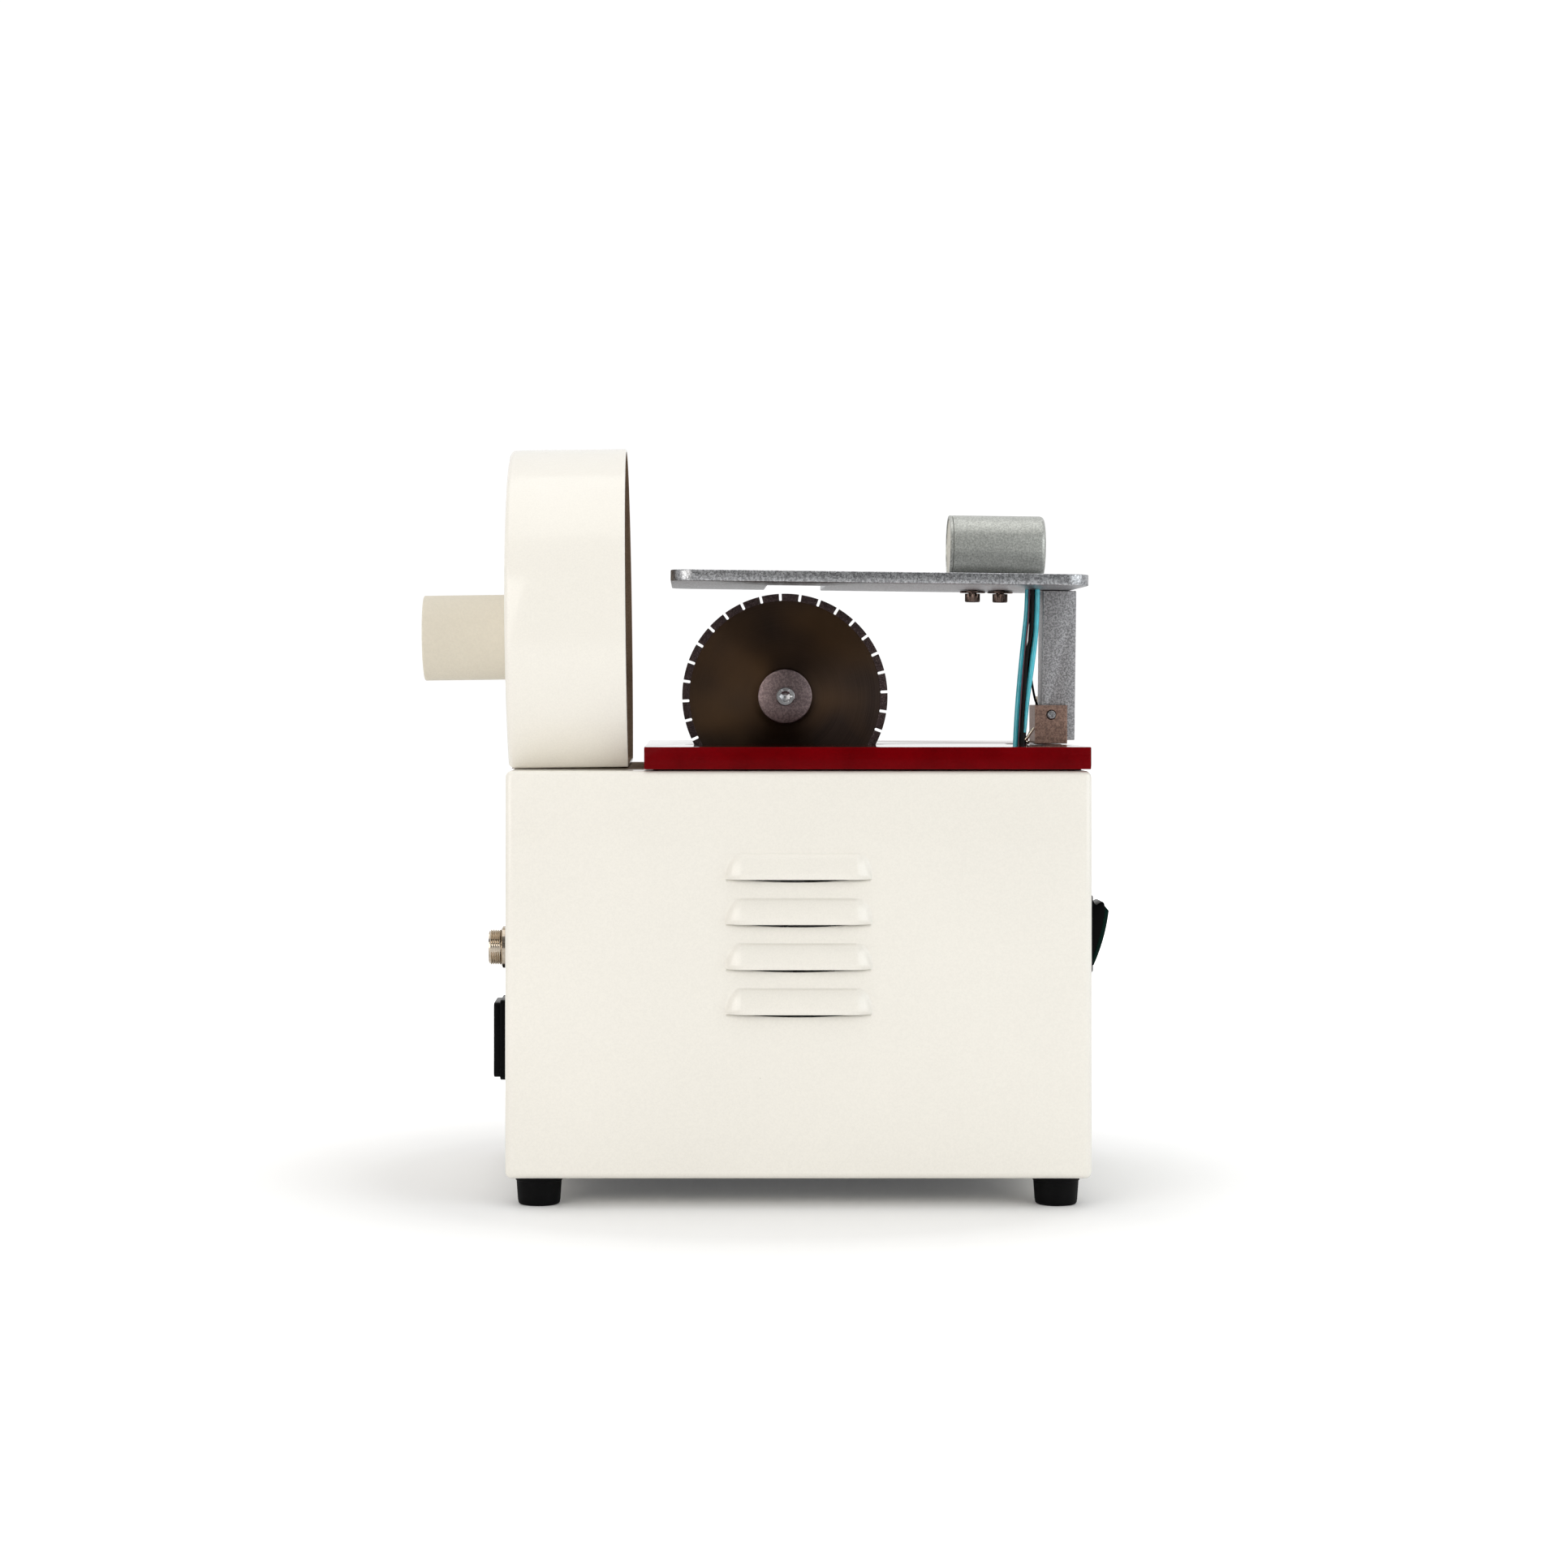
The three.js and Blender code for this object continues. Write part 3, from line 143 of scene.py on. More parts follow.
def loft(loops, caps=(True, True), closed=False):
    """A skin through loops with equal counts of points."""
    count = len(loops[0])
    verts = [point for loop in loops for point in loop]
    bands = len(loops) if closed else len(loops) - 1
    faces = []
    for band in range(bands):
        low, high = band * count, (band + 1) % len(loops) * count
        for i in range(count):
            j = (i + 1) % count
            faces.append([low + i, low + j, high + j, high + i])
    if caps[0]:
        faces.append(list(range(count))[::-1])
    if caps[1]:
        faces.append([len(verts) - count + i for i in range(count)])
    return verts, faces


def lathe(axis, centre, profile, count=72):
    """A turned body. The profile lists (radius, place along the axis) and closes on itself or on the axis."""
    solid = [point for point in profile if point[0] > 0]
    loops = [[onto(axis, centre[0] + u, centre[1] + v, along) for u, v in circle(radius, count=count)]
             for radius, along in solid]
    on_axis = profile[0][0] == 0 or profile[-1][0] == 0
    return loft(loops, (on_axis, on_axis), closed=not on_axis)


def mirrored(profile, span):
    """The other end of a turned profile that is the same at both ends of its span."""
    return [(radius, span[0] + span[1] - along) for radius, along in profile[::-1]]


def plate(axis, span, outlines, bevel=0.0):
    """A flat body with holes: the outlines are filled by the even-odd rule and their edges are rounded."""
    curve = bpy.data.curves.new("outline", "CURVE")
    curve.dimensions = "2D"
    curve.fill_mode = "BOTH"
    curve.bevel_resolution = 2
    curve.bevel_depth = bevel
    curve.offset = -bevel
    curve.extrude = length(span) / 2 - bevel
    for outline in outlines:
        spline = curve.splines.new("POLY")
        spline.points.add(len(outline) - 1)
        spline.points.foreach_set("co", [c for u, v in outline for c in (u, v, 0, 1)])
        spline.use_cyclic_u = True
    holder = bpy.data.objects.new("outline", curve)
    bpy.context.scene.collection.objects.link(holder)
    evaluated = holder.evaluated_get(bpy.context.evaluated_depsgraph_get())
    mesh = bpy.data.meshes.new_from_object(evaluated)
    verts = [onto(axis, v.co.x, v.co.y, v.co.z + middle(span)) for v in mesh.vertices]
    faces = [list(polygon.vertices) for polygon in mesh.polygons]
    bpy.data.objects.remove(holder)
    bpy.data.curves.remove(curve)
    bpy.data.meshes.remove(mesh)
    return verts, faces


def through(points, count):
    """Points along a smooth curve through the given points."""
    known = [Vector(point) for point in points]
    padded = [2 * known[0] - known[1], *known, 2 * known[-1] - known[-2]]
    made = []
    for i in range(count):
        place = i / (count - 1) * (len(known) - 1)
        part = min(int(place), len(known) - 2)
        t = place - part
        a, b, c, d = padded[part:part + 4]
        made.append(0.5 * (2 * b + (c - a) * t + (2 * a - 5 * b + 4 * c - d) * t ** 2
                           + (3 * b - a - 3 * c + d) * t ** 3))
    return made


def tube(path, radius, sides=16):
    """A round bar along a path."""
    loops = []
    across = Vector((0, 1, 0))
    for i, point in enumerate(path):
        ahead = path[min(i + 1, len(path) - 1)] - path[max(i - 1, 0)]
        ahead.normalize()
        across = (across - across.dot(ahead) * ahead).normalized()
        over = ahead.cross(across)
        loops.append([point + radius * (across * u + over * v) for u, v in circle(1, count=sides)])
    return loft(loops)


def socket_screw(axis, centre, head, under, radius, socket, shank, tip, knurl=0.0, taper=0.0):
    """A socket head screw. Its head runs from head to under and has a hexagonal recess, its shank to tip."""
    into = 1 if under > head else -1
    height = abs(under - head)
    ridges = 36
    angles = [TAU * i / (4 * ridges) for i in range(4 * ridges)]

    def ring(reach, along, teeth=0.0):
        reaches = [reach + teeth * math.cos(ridges * a) for a in angles]
        return [onto(axis, centre[0] + r * math.cos(a), centre[1] + r * math.sin(a), along)
                for r, a in zip(reaches, angles)]

    def recess(half_width, along):
        corners = [hexagon_at(half_width, a) for a in angles]
        return [onto(axis, centre[0] + u, centre[1] + v, along) for u, v in corners]

    chamfer = 0.35
    loops = [
        ring(radius - 0.1, under), ring(radius, under - into * 0.1, knurl),
        ring(radius, head + into * (chamfer + 0.2), knurl),
        ring(radius - chamfer / 3, head + into * chamfer / 2), ring(radius - chamfer, head),
        ring(socket * 1.2, head), recess(socket, head + into * 0.25),
        recess(socket, head + into * height * 0.6), ring(socket * 0.4, head + into * height * 0.72),
    ]
    buried = under - into * 0.3
    end = [(shank, tip - into * taper), (shank - 0.8 * taper, tip)] if taper else [(shank, tip)]
    shaft = [(0, buried), (shank, buried), *end, (0, tip)]
    return Shape().add(loft(loops)).add(lathe(axis, centre, shaft, 32))


class Shape:
    """Bodies gathered into one piece. A body's coat says which of the piece's materials it has."""

    def __init__(self):
        self.verts = []
        self.faces = []
        self.coats = []

    def add(self, body, coat=0):
        verts, faces = body
        first = len(self.verts)
        self.verts.extend(tuple(v) for v in verts)
        self.faces.extend([first + i for i in face] for face in faces)
        self.coats.extend([coat] * len(faces))
        return self


def piece(node, shape, extra_coats=(), place=None, coat=None, blended=None, sheet=0.0, sharp=32):
    """Makes a shape the visible piece that stands for a CAD node, on that node's body and in its slot."""
    if not isinstance(shape, Shape):
        shape = Shape().add(shape)
    name = f"{node}_look"
    mesh = bpy.data.meshes.new(name)
    matrix = Matrix.Scale(MM, 4) @ (place or Matrix.Identity(4))
    mesh.from_pydata([matrix @ Vector(v) for v in shape.verts], [], shape.faces)
    for slot in (coat or SLOT_OF[node], *extra_coats):
        mesh.materials.append(FINISHES[slot])
    mesh.polygons.foreach_set("material_index", shape.coats)
    face_out(mesh)
    mesh.shade_smooth()
    mesh.set_sharp_from_angle(angle=math.radians(sharp))
    made = bpy.data.objects.new(name, mesh)
    bpy.context.scene.collection.objects.link(made)
    if sheet:
        thicken(made, sheet)
    if blended:
        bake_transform(made)
    else:
        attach(made, BODY_OF[node])
    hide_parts(node)
    return made


def face_out(mesh):
    """Drops doubled points and slivers, and turns every face outwards."""
    shape = bmesh.new()
    shape.from_mesh(mesh)
    bmesh.ops.remove_doubles(shape, verts=shape.verts, dist=1e-6)
    bmesh.ops.dissolve_degenerate(shape, edges=shape.edges, dist=1e-7)
    bmesh.ops.recalc_face_normals(shape, faces=shape.faces)
    shape.to_mesh(mesh)
    shape.free()


def thicken(made, sheet):
    """Turns a skin into a sheet of this thickness. The skin stays its outer face."""
    solidify = made.modifiers.new("sheet", "SOLIDIFY")
    solidify.thickness = sheet * MM
    solidify.offset = -1
    solidify.use_even_offset = True


def dress(node, bevel=0.3, coat=None):
    """Keeps a CAD node, with softened edges and a finish."""
    made = frame["nodes"][node]
    made.data.materials.clear()
    made.data.materials.append(FINISHES[coat or SLOT_OF[node]])
    weld = made.modifiers.new("weld", "WELD")
    weld.merge_threshold = 1e-6
    soft = made.modifiers.new("soft_edges", "BEVEL")
    soft.width = bevel * MM
    soft.segments = 2
    soft.limit_method = "ANGLE"
    soft.angle_limit = math.radians(40)
    soft.harden_normals = True


# ---------------------------------------------------------------- finishes

def paint(red, green, blue):
    """A display colour, 0 to 255, as linear light."""
    shares = (red / 255, green / 255, blue / 255)
    return (*[c / 12.92 if c <= 0.04045 else ((c + 0.055) / 1.055) ** 2.4 for c in shares], 1.0)


def brighter(colour, factor, lift=0.0):
    return (*[min(1.0, c * factor + lift) for c in colour[:3]], 1.0)


class Finish:
    """One procedural material. Its textures are fixed to the piece, so they move with it."""

    def __init__(self, name, colour, rough, metal=0.0):
        self.material = bpy.data.materials.new(name)
        self.material.use_nodes = True
        self.tree = self.material.node_tree
        self.surface = self.tree.nodes["Principled BSDF"]
        self.place = self.node("TexCoord").outputs["Object"]
        self.colour = colour
        self.rough = rough
        self.normal = None
        self.surface.inputs["Metallic"].default_value = metal
        FINISHES[name] = self.material

    def node(self, kind, inputs=None, **settings):
        made = self.tree.nodes.new("ShaderNode" + kind)
        for key, value in settings.items():
            setattr(made, key, value)
        for key, value in (inputs or {}).items():
            self.feed(made.inputs[key], value)
        return made

    def feed(self, socket, value):
        if isinstance(value, bpy.types.NodeSocket):
            self.tree.links.new(value, socket)
        else:
            socket.default_value = value

    def noise(self, per_metre, detail=2.0, stretch=(1, 1, 1)):
        scaled = self.node("Mapping", {"Vector": self.place, "Scale": stretch}).outputs["Vector"]
        return self.node("TexNoise", {"Vector": scaled, "Scale": per_metre, "Detail": detail}).outputs["Fac"]

    def remap(self, value, low, high, to_low=0.0, to_high=1.0):
        wanted = {"Value": value, "From Min": low, "From Max": high, "To Min": to_low, "To Max": to_high}
        return self.node("MapRange", wanted).outputs["Result"]

    def calc(self, operation, first, second=0.0):
        return self.node("Math", {0: first, 1: second}, operation=operation).outputs[0]

    def mix(self, share, first, second):
        return self.node("Mix", {0: share, 6: first, 7: second}, data_type="RGBA").outputs[2]

    def mottle(self, texture, amount, low=0.35, high=0.65):
        """Makes the colour darker and lighter by the amount, following a texture."""
        level = self.remap(texture, low, high, 1 - amount, 1 + amount)
        grey = self.node("CombineColor", {0: level, 1: level, 2: level}).outputs[0]
        self.colour = self.node("Mix", {0: 1.0, 6: self.colour, 7: grey}, data_type="RGBA",
                                blend_type="MULTIPLY").outputs[2]
        return self

    def tint(self, texture, colour, low, high):
        self.colour = self.mix(self.remap(texture, low, high), self.colour, colour)
        return self

    def vary_rough(self, texture, amount):
        change = self.remap(texture, 0.3, 0.7, -amount, amount)
        self.rough = self.calc("ADD", self.rough, change)
        return self

    def emboss(self, texture, depth):
        """Raises the surface by up to the depth in mm, following a texture."""
        inputs = {"Height": texture, "Distance": depth * MM, "Strength": 1.0}
        if self.normal:
            inputs["Normal"] = self.normal
        self.normal = self.node("Bump", inputs).outputs["Normal"]
        return self

    def wear(self, colour, radius, strength, rough=None):
        """Rubs the edges towards a colour, more in some places than others."""
        soft = self.node("Bevel", {"Radius": radius * MM}, samples=4).outputs["Normal"]
        true = self.node("NewGeometry").outputs["Normal"]
        bend = self.node("VectorMath", {0: soft, 1: true}, operation="DOT_PRODUCT").outputs["Value"]
        edge = self.remap(bend, 0.995, 0.9, 0.0, strength)
        patchy = self.remap(self.noise(180, 3), 0.35, 0.6)
        share = self.calc("MULTIPLY", edge, patchy)
        self.colour = self.mix(share, self.colour, colour)
        if rough is not None:
            self.rough = self.node("Mix", {0: share, 2: self.rough, 3: rough}).outputs[0]
        return self

    def done(self, **inputs):
        for key, value in inputs.items():
            self.feed(self.surface.inputs[key.replace("_", " ")], value)
        self.feed(self.surface.inputs["Base Color"], self.colour)
        self.feed(self.surface.inputs["Roughness"], self.rough)
        if self.normal:
            self.feed(self.surface.inputs["Normal"], self.normal)


FINISHES = {}


def powder_coat(name, colour, rough, grain, depth, gloss):
    """Baked powder paint: a fine pebbled skin, a slow waviness, a few specks of dirt and duller edges."""
    coat = Finish(name, colour, rough)
    fine = coat.noise(grain, 3)
    waves = coat.noise(140, 2)
    coat.mottle(coat.noise(9, 2), 0.012).mottle(fine, 0.02)
    specks = coat.node("TexVoronoi", {"Vector": coat.place, "Scale": 95.0})
    chance = coat.node("SeparateColor", {0: specks.outputs["Color"]}).outputs[0]
    rare = coat.calc("GREATER_THAN", chance, 0.93)
    dot = coat.remap(specks.outputs["Distance"], 0.035, 0.02)
    dirt = coat.calc("MULTIPLY", coat.calc("MULTIPLY", dot, rare), 0.35)
    coat.colour = coat.mix(dirt, coat.colour, paint(150, 140, 122))
    coat.vary_rough(waves, 0.05)
    coat.emboss(waves, 0.05).emboss(fine, depth)
    coat.wear(paint(252, 249, 243), 0.6, 0.5)
    coat.done(Coat_Weight=gloss, Coat_Roughness=0.09)


def enamel(name, colour):
    """Thick enamel with a slight orange peel and faint smears, glossiest at a glancing view."""
    coat = Finish(name, colour, 0.24)
    coat.mottle(coat.noise(60, 3), 0.12).mottle(coat.noise(900, 2), 0.06)
    coat.vary_rough(coat.noise(40, 4, (1, 1, 6)), 0.06)
    coat.emboss(coat.noise(420, 2), 0.012)
    coat.wear(paint(150, 30, 34), 0.5, 0.6)
    glancing = coat.node("LayerWeight", {"Blend": 0.5}).outputs["Facing"]
    gloss = coat.remap(glancing, 0.7, 0.95, 0.02, 1.0)
    coat.done(Specular_IOR_Level=0.03, Coat_Weight=gloss, Coat_Roughness=0.03)


def moulding(name, colour, rough, depth=0.015, **inputs):
    """Moulded plastic or rubber with a fine eroded skin, faint handling marks and paler edges."""
    skin = Finish(name, colour, rough)
    fine = skin.noise(2600, 2)
    skin.mottle(fine, 0.18).mottle(skin.noise(55, 3), 0.12)
    skin.vary_rough(skin.noise(70, 4), 0.09)
    skin.emboss(fine, depth)
    skin.wear(brighter(colour, 2.2, 0.004), 0.4, 0.35)
    skin.done(**inputs)


def blasted(name, colour, rough, metal, speckle, depth=0.02):
    """Bead-blasted metal: a salt and pepper speckle and brighter edges."""
    skin = Finish(name, colour, rough, metal)
    fine = skin.noise(1150, 2)
    skin.mottle(fine, speckle, 0.4, 0.6).mottle(skin.noise(3200, 1), speckle * 0.7, 0.4, 0.6)
    skin.mottle(skin.noise(28, 3), 0.02)
    skin.vary_rough(skin.noise(2100, 2), 0.12)
    skin.emboss(fine, depth)
    skin.wear(brighter(colour, 1.7), 0.4, 0.7, rough * 0.7)
    skin.done()


def turned_metal(name, colour, rough, stretch=(1, 1, 1), anisotropic=0.4):
    """Turned, rolled or plated metal: fine tool lines, thin stains and rubbed edges."""
    skin = Finish(name, colour, rough, 1.0)
    lines = skin.noise(900, 3, stretch)
    skin.mottle(lines, 0.1).mottle(skin.noise(45, 4), 0.12)
    skin.vary_rough(skin.noise(120, 4), 0.08)
    skin.emboss(lines, 0.006)
    skin.wear(brighter(colour, 1.6), 0.35, 0.7, rough * 0.6)
    skin.done(Anisotropic=anisotropic)


def ground_in_circles(skin, amount):
    """Finishes a disc's face so that its highlights spread along its radii."""
    tangent = skin.node("Tangent", direction_type="RADIAL", axis="Y").outputs["Tangent"]
    skin.done(Anisotropic=amount, Anisotropic_Rotation=0.25, Tangent=tangent)


def disc_steel(name):
    """The disc's core: dark steel ground in circles, with concentric bands, soft patches of painted brown sheen
    and small scratches.
    """
    skin = Finish(name, paint(50, 41, 37), 0.42, 1.0)
    axis = tuple(ARBOR * MM)
    from_axis = skin.node("VectorMath", {0: skin.place, 1: axis}, operation="SUBTRACT").outputs["Vector"]
    flat = skin.node("VectorMath", {0: from_axis, 1: (1, 0, 1)}, operation="MULTIPLY").outputs["Vector"]
    radius = skin.node("VectorMath", {0: flat}, operation="LENGTH").outputs["Value"]
    ring_place = skin.node("CombineXYZ", {0: radius}).outputs[0]
    rings = skin.node("TexNoise", {"Vector": ring_place, "Scale": 2600.0, "Detail": 3.0}).outputs["Fac"]
    bands = skin.node("TexNoise", {"Vector": ring_place, "Scale": 130.0, "Detail": 2.0}).outputs["Fac"]
    skin.mottle(rings, 0.22).mottle(bands, 0.12)
    # Painted sheen: soft brown patches standing in for the warm reflections that fan across the ground face
    skin.tint(skin.noise(22, 2), paint(74, 56, 40), 0.45, 0.7)
    skin.vary_rough(bands, 0.05)
    skin.emboss(rings, 0.01)
    skin.emboss(skin.noise(1900, 1), 0.004)
    ground_in_circles(skin, 0.9)


def diamond_grit(name):
    """The disc's segments: sintered metal full of hard pale grains."""
    skin = Finish(name, paint(62, 50, 50), 0.46, 0.9)
    grains = skin.node("TexVoronoi", {"Vector": skin.place, "Scale": 2600.0}).outputs["Distance"]
    skin.mottle(skin.noise(1700, 2), 0.35).tint(grains, paint(142, 130, 128), 0.28, 0.1)
    skin.vary_rough(skin.noise(900, 2), 0.15)
    skin.emboss(grains, 0.04)
    ground_in_circles(skin, 0.6)


def clear_tube(name, colour):
    """Translucent polyurethane tube."""
    skin = Finish(name, colour, 0.16)
    skin.mottle(skin.noise(160, 3), 0.12)
    skin.vary_rough(skin.noise(300, 2), 0.05)
    skin.emboss(skin.noise(700, 2), 0.01)
    skin.done(Transmission_Weight=0.12, IOR=1.45, Coat_Weight=0.5, Coat_Roughness=0.08)


def make_finishes():
    powder_coat("cream_paint", paint(242, 238, 229), 0.42, 1300, 0.02, 0.7)
    # The dust port wears the cabinet's cream paint: its darker, yellower colour here is painted shade, on a
    # duller, coarser skin
    powder_coat("port_paint", paint(226, 219, 203), 0.62, 820, 0.2, 0.05)
    enamel("red_paint", paint(100, 1, 6))
    # Brown-grey for the hood's gasket, and painted shade on the hood's inside, which is cream paint lying in
    # shadow
    moulding("gasket_and_hood_shade", paint(150, 130, 110), 0.8, 0.03, Specular_IOR_Level=0.05)
    moulding("rubber", paint(8, 8, 9), 0.6, 0.03, Specular_IOR_Level=0.08)
    moulding("black_plastic", paint(5, 5, 6), 0.3, Specular_IOR_Level=0.06)
    moulding("green_plastic", paint(2, 30, 24), 0.2, 0.006, Specular_IOR_Level=0.1)
    moulding("cable_sheath", paint(11, 8, 10), 0.36, 0.01, Specular_IOR_Level=0.12)
    moulding("mauve_wire", paint(84, 44, 62), 0.35, 0.01)
    moulding("circuit_board", paint(24, 92, 52), 0.4, 0.02)
    moulding("cap_face", paint(216, 212, 196), 0.45, 0.02)
    blasted("blasted_aluminium", paint(170, 171, 174), 0.34, 0.95, 0.34)
    blasted("post_aluminium", paint(152, 151, 153), 0.5, 0.95, 0.3)
    blasted("plum_aluminium", paint(122, 107, 107), 0.4, 0.95, 0.22)
    blasted("brown_steel", paint(146, 120, 108), 0.5, 0.85, 0.24)
    blasted("grey_paint", paint(182, 184, 179), 0.36, 0.55, 0.16)
    turned_metal("machined_steel", paint(168, 168, 170), 0.3)
    turned_metal("dark_steel", paint(92, 78, 72), 0.16)
    turned_metal("nickel", paint(196, 184, 168), 0.15)
    turned_metal("gold_plate", paint(214, 170, 92), 0.2)
    disc_steel("blade_steel")
    diamond_grit("diamond_grit")
    clear_tube("cyan_tube", paint(74, 206, 224))


# ---------------------------------------------------------------- cabinet

SHEET = 1.5
EDGE = 3.0
LOUVRES = 4
LOUVRE_TOP = 132.7
LOUVRE_PITCH = 19.9
LOUVRE_HALF = 32.5
LOUVRE_END = 7.9
LOUVRE_HEIGHT = 11.5
LOUVRE_DEPTH = 4.2
# The shares of a louvre's half length and height at which the cabinet's skin has a line of points.
LOUVRE_COLUMNS = (0, 0.2, 0.4, 0.55, 0.62, 0.66, 0.7, 0.73, 0.745, 0.757, 0.77, 0.785, 0.79, 0.83, 0.87,
                  0.905, 0.935, 0.96, 0.98, 1, 1.02, 1.03)
LOUVRE_ROWS = (0, 0.012, 0.03, 0.055, 0.09, 0.125, 0.156, 0.2, 0.27, 0.36, 0.46, 0.56, 0.66, 0.75, 0.82,
               0.88, 0.92, 0.96, 1, 1.05, 1.1)
LIP_OPEN_HALF = 25.0
LIP_HANG = 0.9
LIP_GAP = 1.35
LIP_TUCK = 2.2


def louvre_lips():
    return [CABINET.z[0] + LOUVRE_TOP - LOUVRE_PITCH * i for i in range(LOUVRES)]


def lip_opening(x):
    """How far open a louvre's lip is along its length: 1 in the middle and 0 where the slit ends."""
    return math.sqrt(max(0.0, 1 - (x / LIP_OPEN_HALF) ** 2))


def lip_hang(x):
    """How far a louvre's lip stands off the panel along its length, as a share of the louvre's depth."""
    return LIP_HANG * max(0.0, 1 - (x / LOUVRE_HALF) ** 10)


def press_louvres(spot, outwards, under_lip):
    """Presses a point of a side panel outwards on a louvre, or draws the panel down from the lip."""
    x = spot.x - MIDDLE_X
    for lip in louvre_lips():
        above = spot.z - lip
        if abs(x) > LOUVRE_HALF + 2 or not -0.01 < above <= LOUVRE_HEIGHT + 1.5:
            continue
        if under_lip and above < 0.01:
            spot.z -= LIP_GAP * lip_opening(x) ** 2
            return
        past_end = max(0.0, abs(x) - (LOUVRE_HALF - LOUVRE_END)) / LOUVRE_END
        reach = min(1.0, math.hypot(past_end, above / LOUVRE_HEIGHT))
        dome = (1 - reach ** 2.2) ** 0.72
        tuck = min(1.0, max(0.0, above / LIP_TUCK))
        under = math.sqrt(1 - (1 - tuck) ** 2)
        hang = lip_hang(x)
        spot.y += outwards * LOUVRE_DEPTH * dome * max(under, hang + (1 - hang) * tuck)
        return


def grid_lines(span, radius, fixed):
    """Places along one side of a rounded box: fine round its edges, and through each fixed place."""
    low, high = span[0] + radius, span[1] - radius
    arc = [radius * math.tan(math.radians(angle)) for angle in (0, 11.25, 22.5, 33.75, 45)]
    places = [low - a for a in arc] + [high + a for a in arc] + [f for f in fixed if low < f < high]
    wanted = sorted(places)
    return [p for i, p in enumerate(wanted) if i == 0 or p - wanted[i - 1] > 0.02]


def cabinet_openings():
    """Each opening in the shell: the side it is on, and its extent along that side's two axes."""
    inlet = measure("inlet_body")
    bezel = measure("switch_body")
    fold = 28
    return [
        (0, 0, around(middle(inlet.y), 13.8), around(middle(inlet.z), 16.3)),
        (0, 0, *connector_hole()),
        (0, 1, inset(bezel.y, 1.7), inset(bezel.z, 1)),
        (2, 0, inset(CABINET.x, fold), inset(CABINET.y, fold)),
        *[(2, 1, x, y) for x, y in table_slots()],
    ]


def connector_hole():
    body = measure("connector_nut")
    half = length(body.y) / 2 - 1.1
    return around(middle(body.y), half), around(middle(body.z), half)


def cabinet_skin():
    """A rounded box as one grid, with its louvres pressed out and slit along their lips."""
    openings = cabinet_openings()
    fixed = [[], [], []]
    for axis, _, first, second in openings:
        across = [a for a in range(3) if a != axis]
        fixed[across[0]] += first
        fixed[across[1]] += second
    hole_y, hole_z = connector_hole()
    for axis, hole in ((1, hole_y), (2, hole_z)):
        fixed[axis] += [middle(hole) + length(hole) / 2 * t for t in (-0.7, -0.4, 0, 0.4, 0.7)]
    fixed[0] += [MIDDLE_X + LOUVRE_HALF * side * t for side in (-1, 1) for t in LOUVRE_COLUMNS]
    for lip in louvre_lips():
        fixed[2] += [lip - LIP_GAP - below for below in (0.15, 0.45, 1.0)]
        fixed[2] += [lip + LOUVRE_HEIGHT * t for t in LOUVRE_ROWS]
    lines = [grid_lines(span, EDGE, places) for span, places in zip(CABINET, fixed)]
    inner = [(span[0] + EDGE, span[1] - EDGE) for span in CABINET]
    last = [len(line) - 1 for line in lines]
    verts, faces, known = [], [], {}

    def vertex(index, under_lip):
        spot = Vector(lines[axis][i] for axis, i in enumerate(index))
        core = Vector(min(max(spot[a], inner[a][0]), inner[a][1]) for a in range(3))
        spot = core + EDGE * (spot - core).normalized()
        if index[1] in (0, last[1]):
            press_louvres(spot, -1 if index[1] == 0 else 1, under_lip)
        if index[0] == 0:
            spot = onto_round_hole(spot, hole_y, hole_z)
        key = tuple(round(c, 4) for c in spot)
        if key not in known:
            known[key] = len(verts)
            verts.append(spot)
        return known[key]

    for axis in range(3):
        first, second = [a for a in range(3) if a != axis]
        for side, level in ((0, 0), (1, last[axis])):
            holes = [o[2:] for o in openings if o[:2] == (axis, side)]
            for i in range(last[first]):
                for j in range(last[second]):
                    u, v = middle(lines[first][i:i + 2]), middle(lines[second][j:j + 2])
                    if any(a[0] < u < a[1] and b[0] < v < b[1] for a, b in holes):
                        continue
                    corners = []
                    for di, dj in ((0, 0), (1, 0), (1, 1), (0, 1)):
                        index = [0, 0, 0]
                        index[axis], index[first], index[second] = level, i + di, j + dj
                        corners.append(vertex(index, under_lip=dj == 1))
                    corners = list(dict.fromkeys(corners))
                    outwards = (side == 1) != (axis == 1)
                    faces.append(corners if outwards else corners[::-1])
    return verts, faces


def onto_round_hole(spot, hole_y, hole_z):
    """Moves a point on the square round the connector's hole onto the circle inside it."""
    half = length(hole_y) / 2
    off = Vector((spot.y - middle(hole_y), spot.z - middle(hole_z)))
    if abs(max(abs(off.x), abs(off.y)) - half) > 0.01:
        return spot
    off = off.normalized() * half
    return Vector((spot.x, middle(hole_y) + off.x, middle(hole_z) + off.y))


def table_slots():
    """The slots that run down through the table: for the disc, the belt and the cables."""
    trough = measure("blade_trough")
    belt = measure("drive_belt")
    cables = measure("cable_grommet")
    return [
        (around(ARBOR.x, 46), around(middle(trough.y), 3)),
        (around(ARBOR.x, 24), around(middle(belt.y), 8)),
        (inset(cables.x, -0.3), inset(cables.y, -0.3)),
    ]


def build_cabinet():
    piece("cabinet_shell", cabinet_skin(), sheet=SHEET, sharp=50)
    dress("base_plate", 0.2)
    for node in BODY_OF:
        if node.startswith("foot_screw"):
            build_foot_screw(node)
        elif node.startswith("foot_"):
            build_foot(node)


